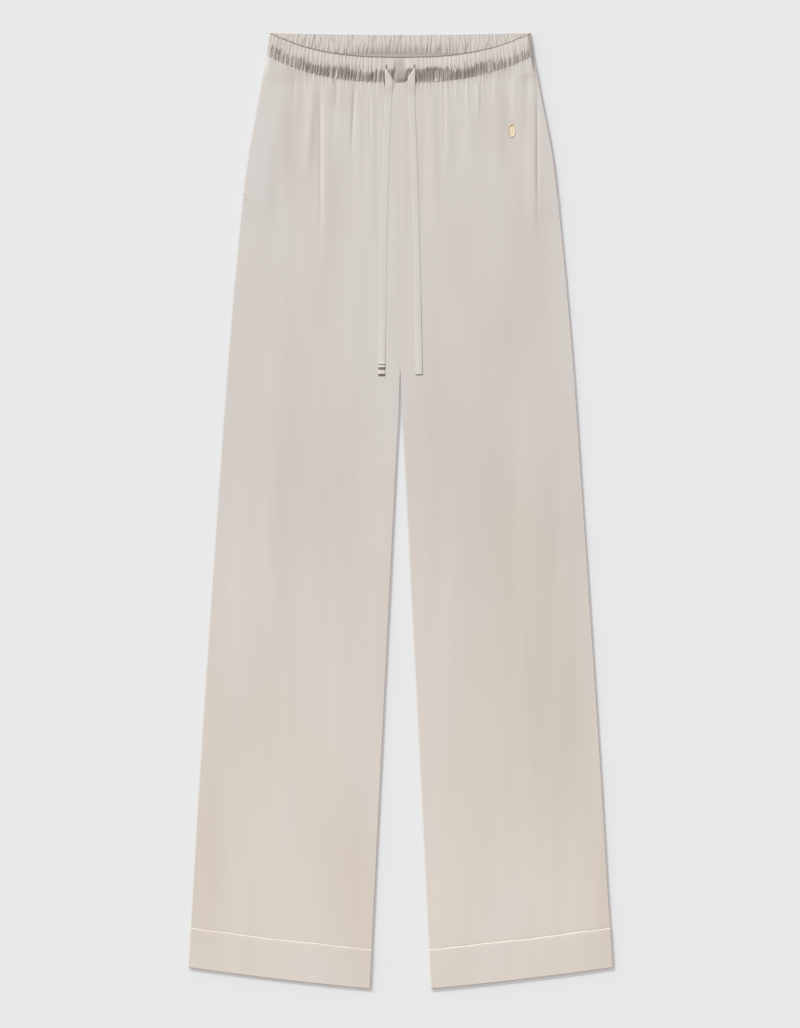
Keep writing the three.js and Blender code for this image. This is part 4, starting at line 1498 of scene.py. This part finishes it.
# %% Hip plate
PLATE_X = 0.1304
PLATE_DOWN = 0.1144
PLATE_WIDE = 0.0082
PLATE_TALL = 0.0170
PLATE_SIDES = 48
PLATE_PROFILE = table(
    "out up",
    (1.000, 0.0000),
    (1.000, 0.0007),
    (0.955, 0.0011),
    (0.870, 0.0013),
    (0.780, 0.0011),
    (0.720, 0.0007),
    (0.620, 0.0006),
    (0.400, 0.0008),
    (0.200, 0.0009),
)
gold, gold_shader = new_material("pale_gold", (0.82, 0.68, 0.50), 0.28)
gold_shader.inputs["Metallic"].default_value = 1.0


def hip_plate():
    turn = full_turn(PLATE_SIDES)
    seat = float(front_under(PLATE_X, PLATE_DOWN)) + CLOTH - HAIR
    rings = []
    for step in PLATE_PROFILE:
        x = PLATE_X + step["out"] * PLATE_WIDE / 2 * np.cos(turn)
        down = PLATE_DOWN - step["out"] * PLATE_TALL / 2 * np.sin(turn)
        rings.append(points(x, down, seat + step["up"]))
    return np.concatenate(rings), tube_faces(len(PLATE_PROFILE), PLATE_SIDES)


plate = new_piece("metal_plate", *hip_plate(), gold, "plate", ["hip_plate"])
print("plate:", [round(v * 1000, 1) for v in plate.dimensions], "mm")

# %% [markdown]
# ## The cloth's flat sizes
# Every piece of cloth has the size that it was cut to. One could measure that on the finished
# mesh, but a cutter works the other way round, and fine gathers hide some of the length. The
# casings were drawn up over elastic, so they were cut a fifth to a quarter longer than they
# lie. The panels slant outwards. The hem bands and the pockets lie as they were cut.


print("sheets declared:", len(LEGS) * (3 + len(HEM_LAYERS)) + 2)

# %% [markdown]
# ## Floor and light
# The pants lie on a pale, matt floor. A broad soft light hangs overhead and towards the waist,
# so that each fold is pale on the side that faces the waist and the casing's lower half, which
# turns to the dark side of the room, goes taupe. Area lamps would show as patches in such a
# dull mirror, so the world's colour by direction does most of this. One lamp, low and soft,
# draws the shadows along the edges.

# %% Floor
FLOOR_HALF = 4
FLOOR_GAP = 0.0006
FLOOR_GLOW = 0.20                # the floor is lit a little from within, so shadows stay pale
floor_mesh = bpy.data.meshes.new("floor")
corners = [(-1, -1), (1, -1), (1, 1), (-1, 1)]
floor_mesh.from_pydata([(FLOOR_HALF * x, FLOOR_HALF * y, -FLOOR_GAP) for x, y in corners], [],
                       [(0, 1, 2, 3)])
floor = bpy.data.objects.new("floor", floor_mesh)
bpy.context.scene.collection.objects.link(floor)
floor_paint, floor_shader = new_material("floor_paint", (0.536, 0.544, 0.549), 0.9)
floor_shader.inputs["Emission Color"].default_value = (1.0, 0.97, 1.0, 1)
floor_shader.inputs["Emission Strength"].default_value = FLOOR_GLOW
floor_shader.inputs["Specular IOR Level"].default_value = 0.1
floor.data.materials.append(floor_paint)
print("floor:", round(FLOOR_GAP * 1000, 1), "mm under the cloth")

# %% Light of the room
ROOM_TILT = (-0.06, 0.54, 0.84)  # towards the room's brightest part
ROOM_DARK = 0.12
ROOM_BRIGHT = 1.10
ROOM_STEP = (0.15, 0.86)         # how far a direction is along the tilt: from dark to bright
DARK_TONE = (1.0, 0.78, 0.64)
BRIGHT_TONE = (1.0, 0.97, 0.985)
SIDE_LIGHT = 0.24                # how much brighter the room is on its left, and darker right
LEFT_WINDOW = 0.5                # the room is open to the light low on its left
WINDOW_STEP = (-1, -0.35)        # from its middle to its edge
world = bpy.data.worlds.new("studio")
bpy.context.scene.world = world
world.use_nodes = True
looking = add_node(world, "ShaderNodeTexCoord")
facing = add_node(world, "ShaderNodeVectorMath", operation="DOT_PRODUCT")
facing.inputs[1].default_value = ROOM_TILT
connect(world, looking, "Generated", facing, 0)
sideways = add_node(world, "ShaderNodeSeparateXYZ")
connect(world, looking, "Generated", sideways, "Vector")
window = remap(world, sideways, "X", WINDOW_STEP, (LEFT_WINDOW, 0))
open_side = add_node(world, "ShaderNodeMath", operation="ADD")
connect(world, facing, "Value", open_side, 0)
connect(world, window, "Result", open_side, 1)
bright_share = remap(world, open_side, "Value", ROOM_STEP, (0, 1), interpolation_type="SMOOTHSTEP")
tone = mix_colours(world, bright_share, DARK_TONE, BRIGHT_TONE)
power = remap(world, bright_share, "Result", (0, 1), (ROOM_DARK, ROOM_BRIGHT))
left_bright = remap(world, sideways, "X", (-1, 1), (1 + SIDE_LIGHT, 1 - SIDE_LIGHT))
strength = add_node(world, "ShaderNodeMath", operation="MULTIPLY")
connect(world, power, "Result", strength, 0)
connect(world, left_bright, "Result", strength, 1)
sky = world.node_tree.nodes["Background"]
connect(world, tone, "Result", sky, "Color")
connect(world, strength, "Value", sky, "Strength")
print("the room's light goes from", ROOM_DARK, "to", ROOM_BRIGHT)

# %% Lamp
LAMP_POWER = 1.8
LAMP_ANGLE = math.radians(5)
LAMP_FROM = (-0.60, 0.80, 0.80)
lamp = bpy.data.objects.new("soft_lamp", bpy.data.lights.new("soft_lamp", "SUN"))
bpy.context.scene.collection.objects.link(lamp)
lamp.data.energy = LAMP_POWER
lamp.data.angle = LAMP_ANGLE
lamp.data.color = (0.96, 1.05, 1.01)
lamp.visible_glossy = False      # satin would show it as a hot spot
aim = -np.array(LAMP_FROM) / np.linalg.norm(LAMP_FROM)
lamp.rotation_euler = (math.acos(-aim[2]), 0, math.atan2(aim[1], aim[0]) - math.pi / 2)
bpy.context.scene.view_settings.view_transform = "Standard"
print("lamp elevation:", round(math.degrees(math.asin(-aim[2]))), "degrees")
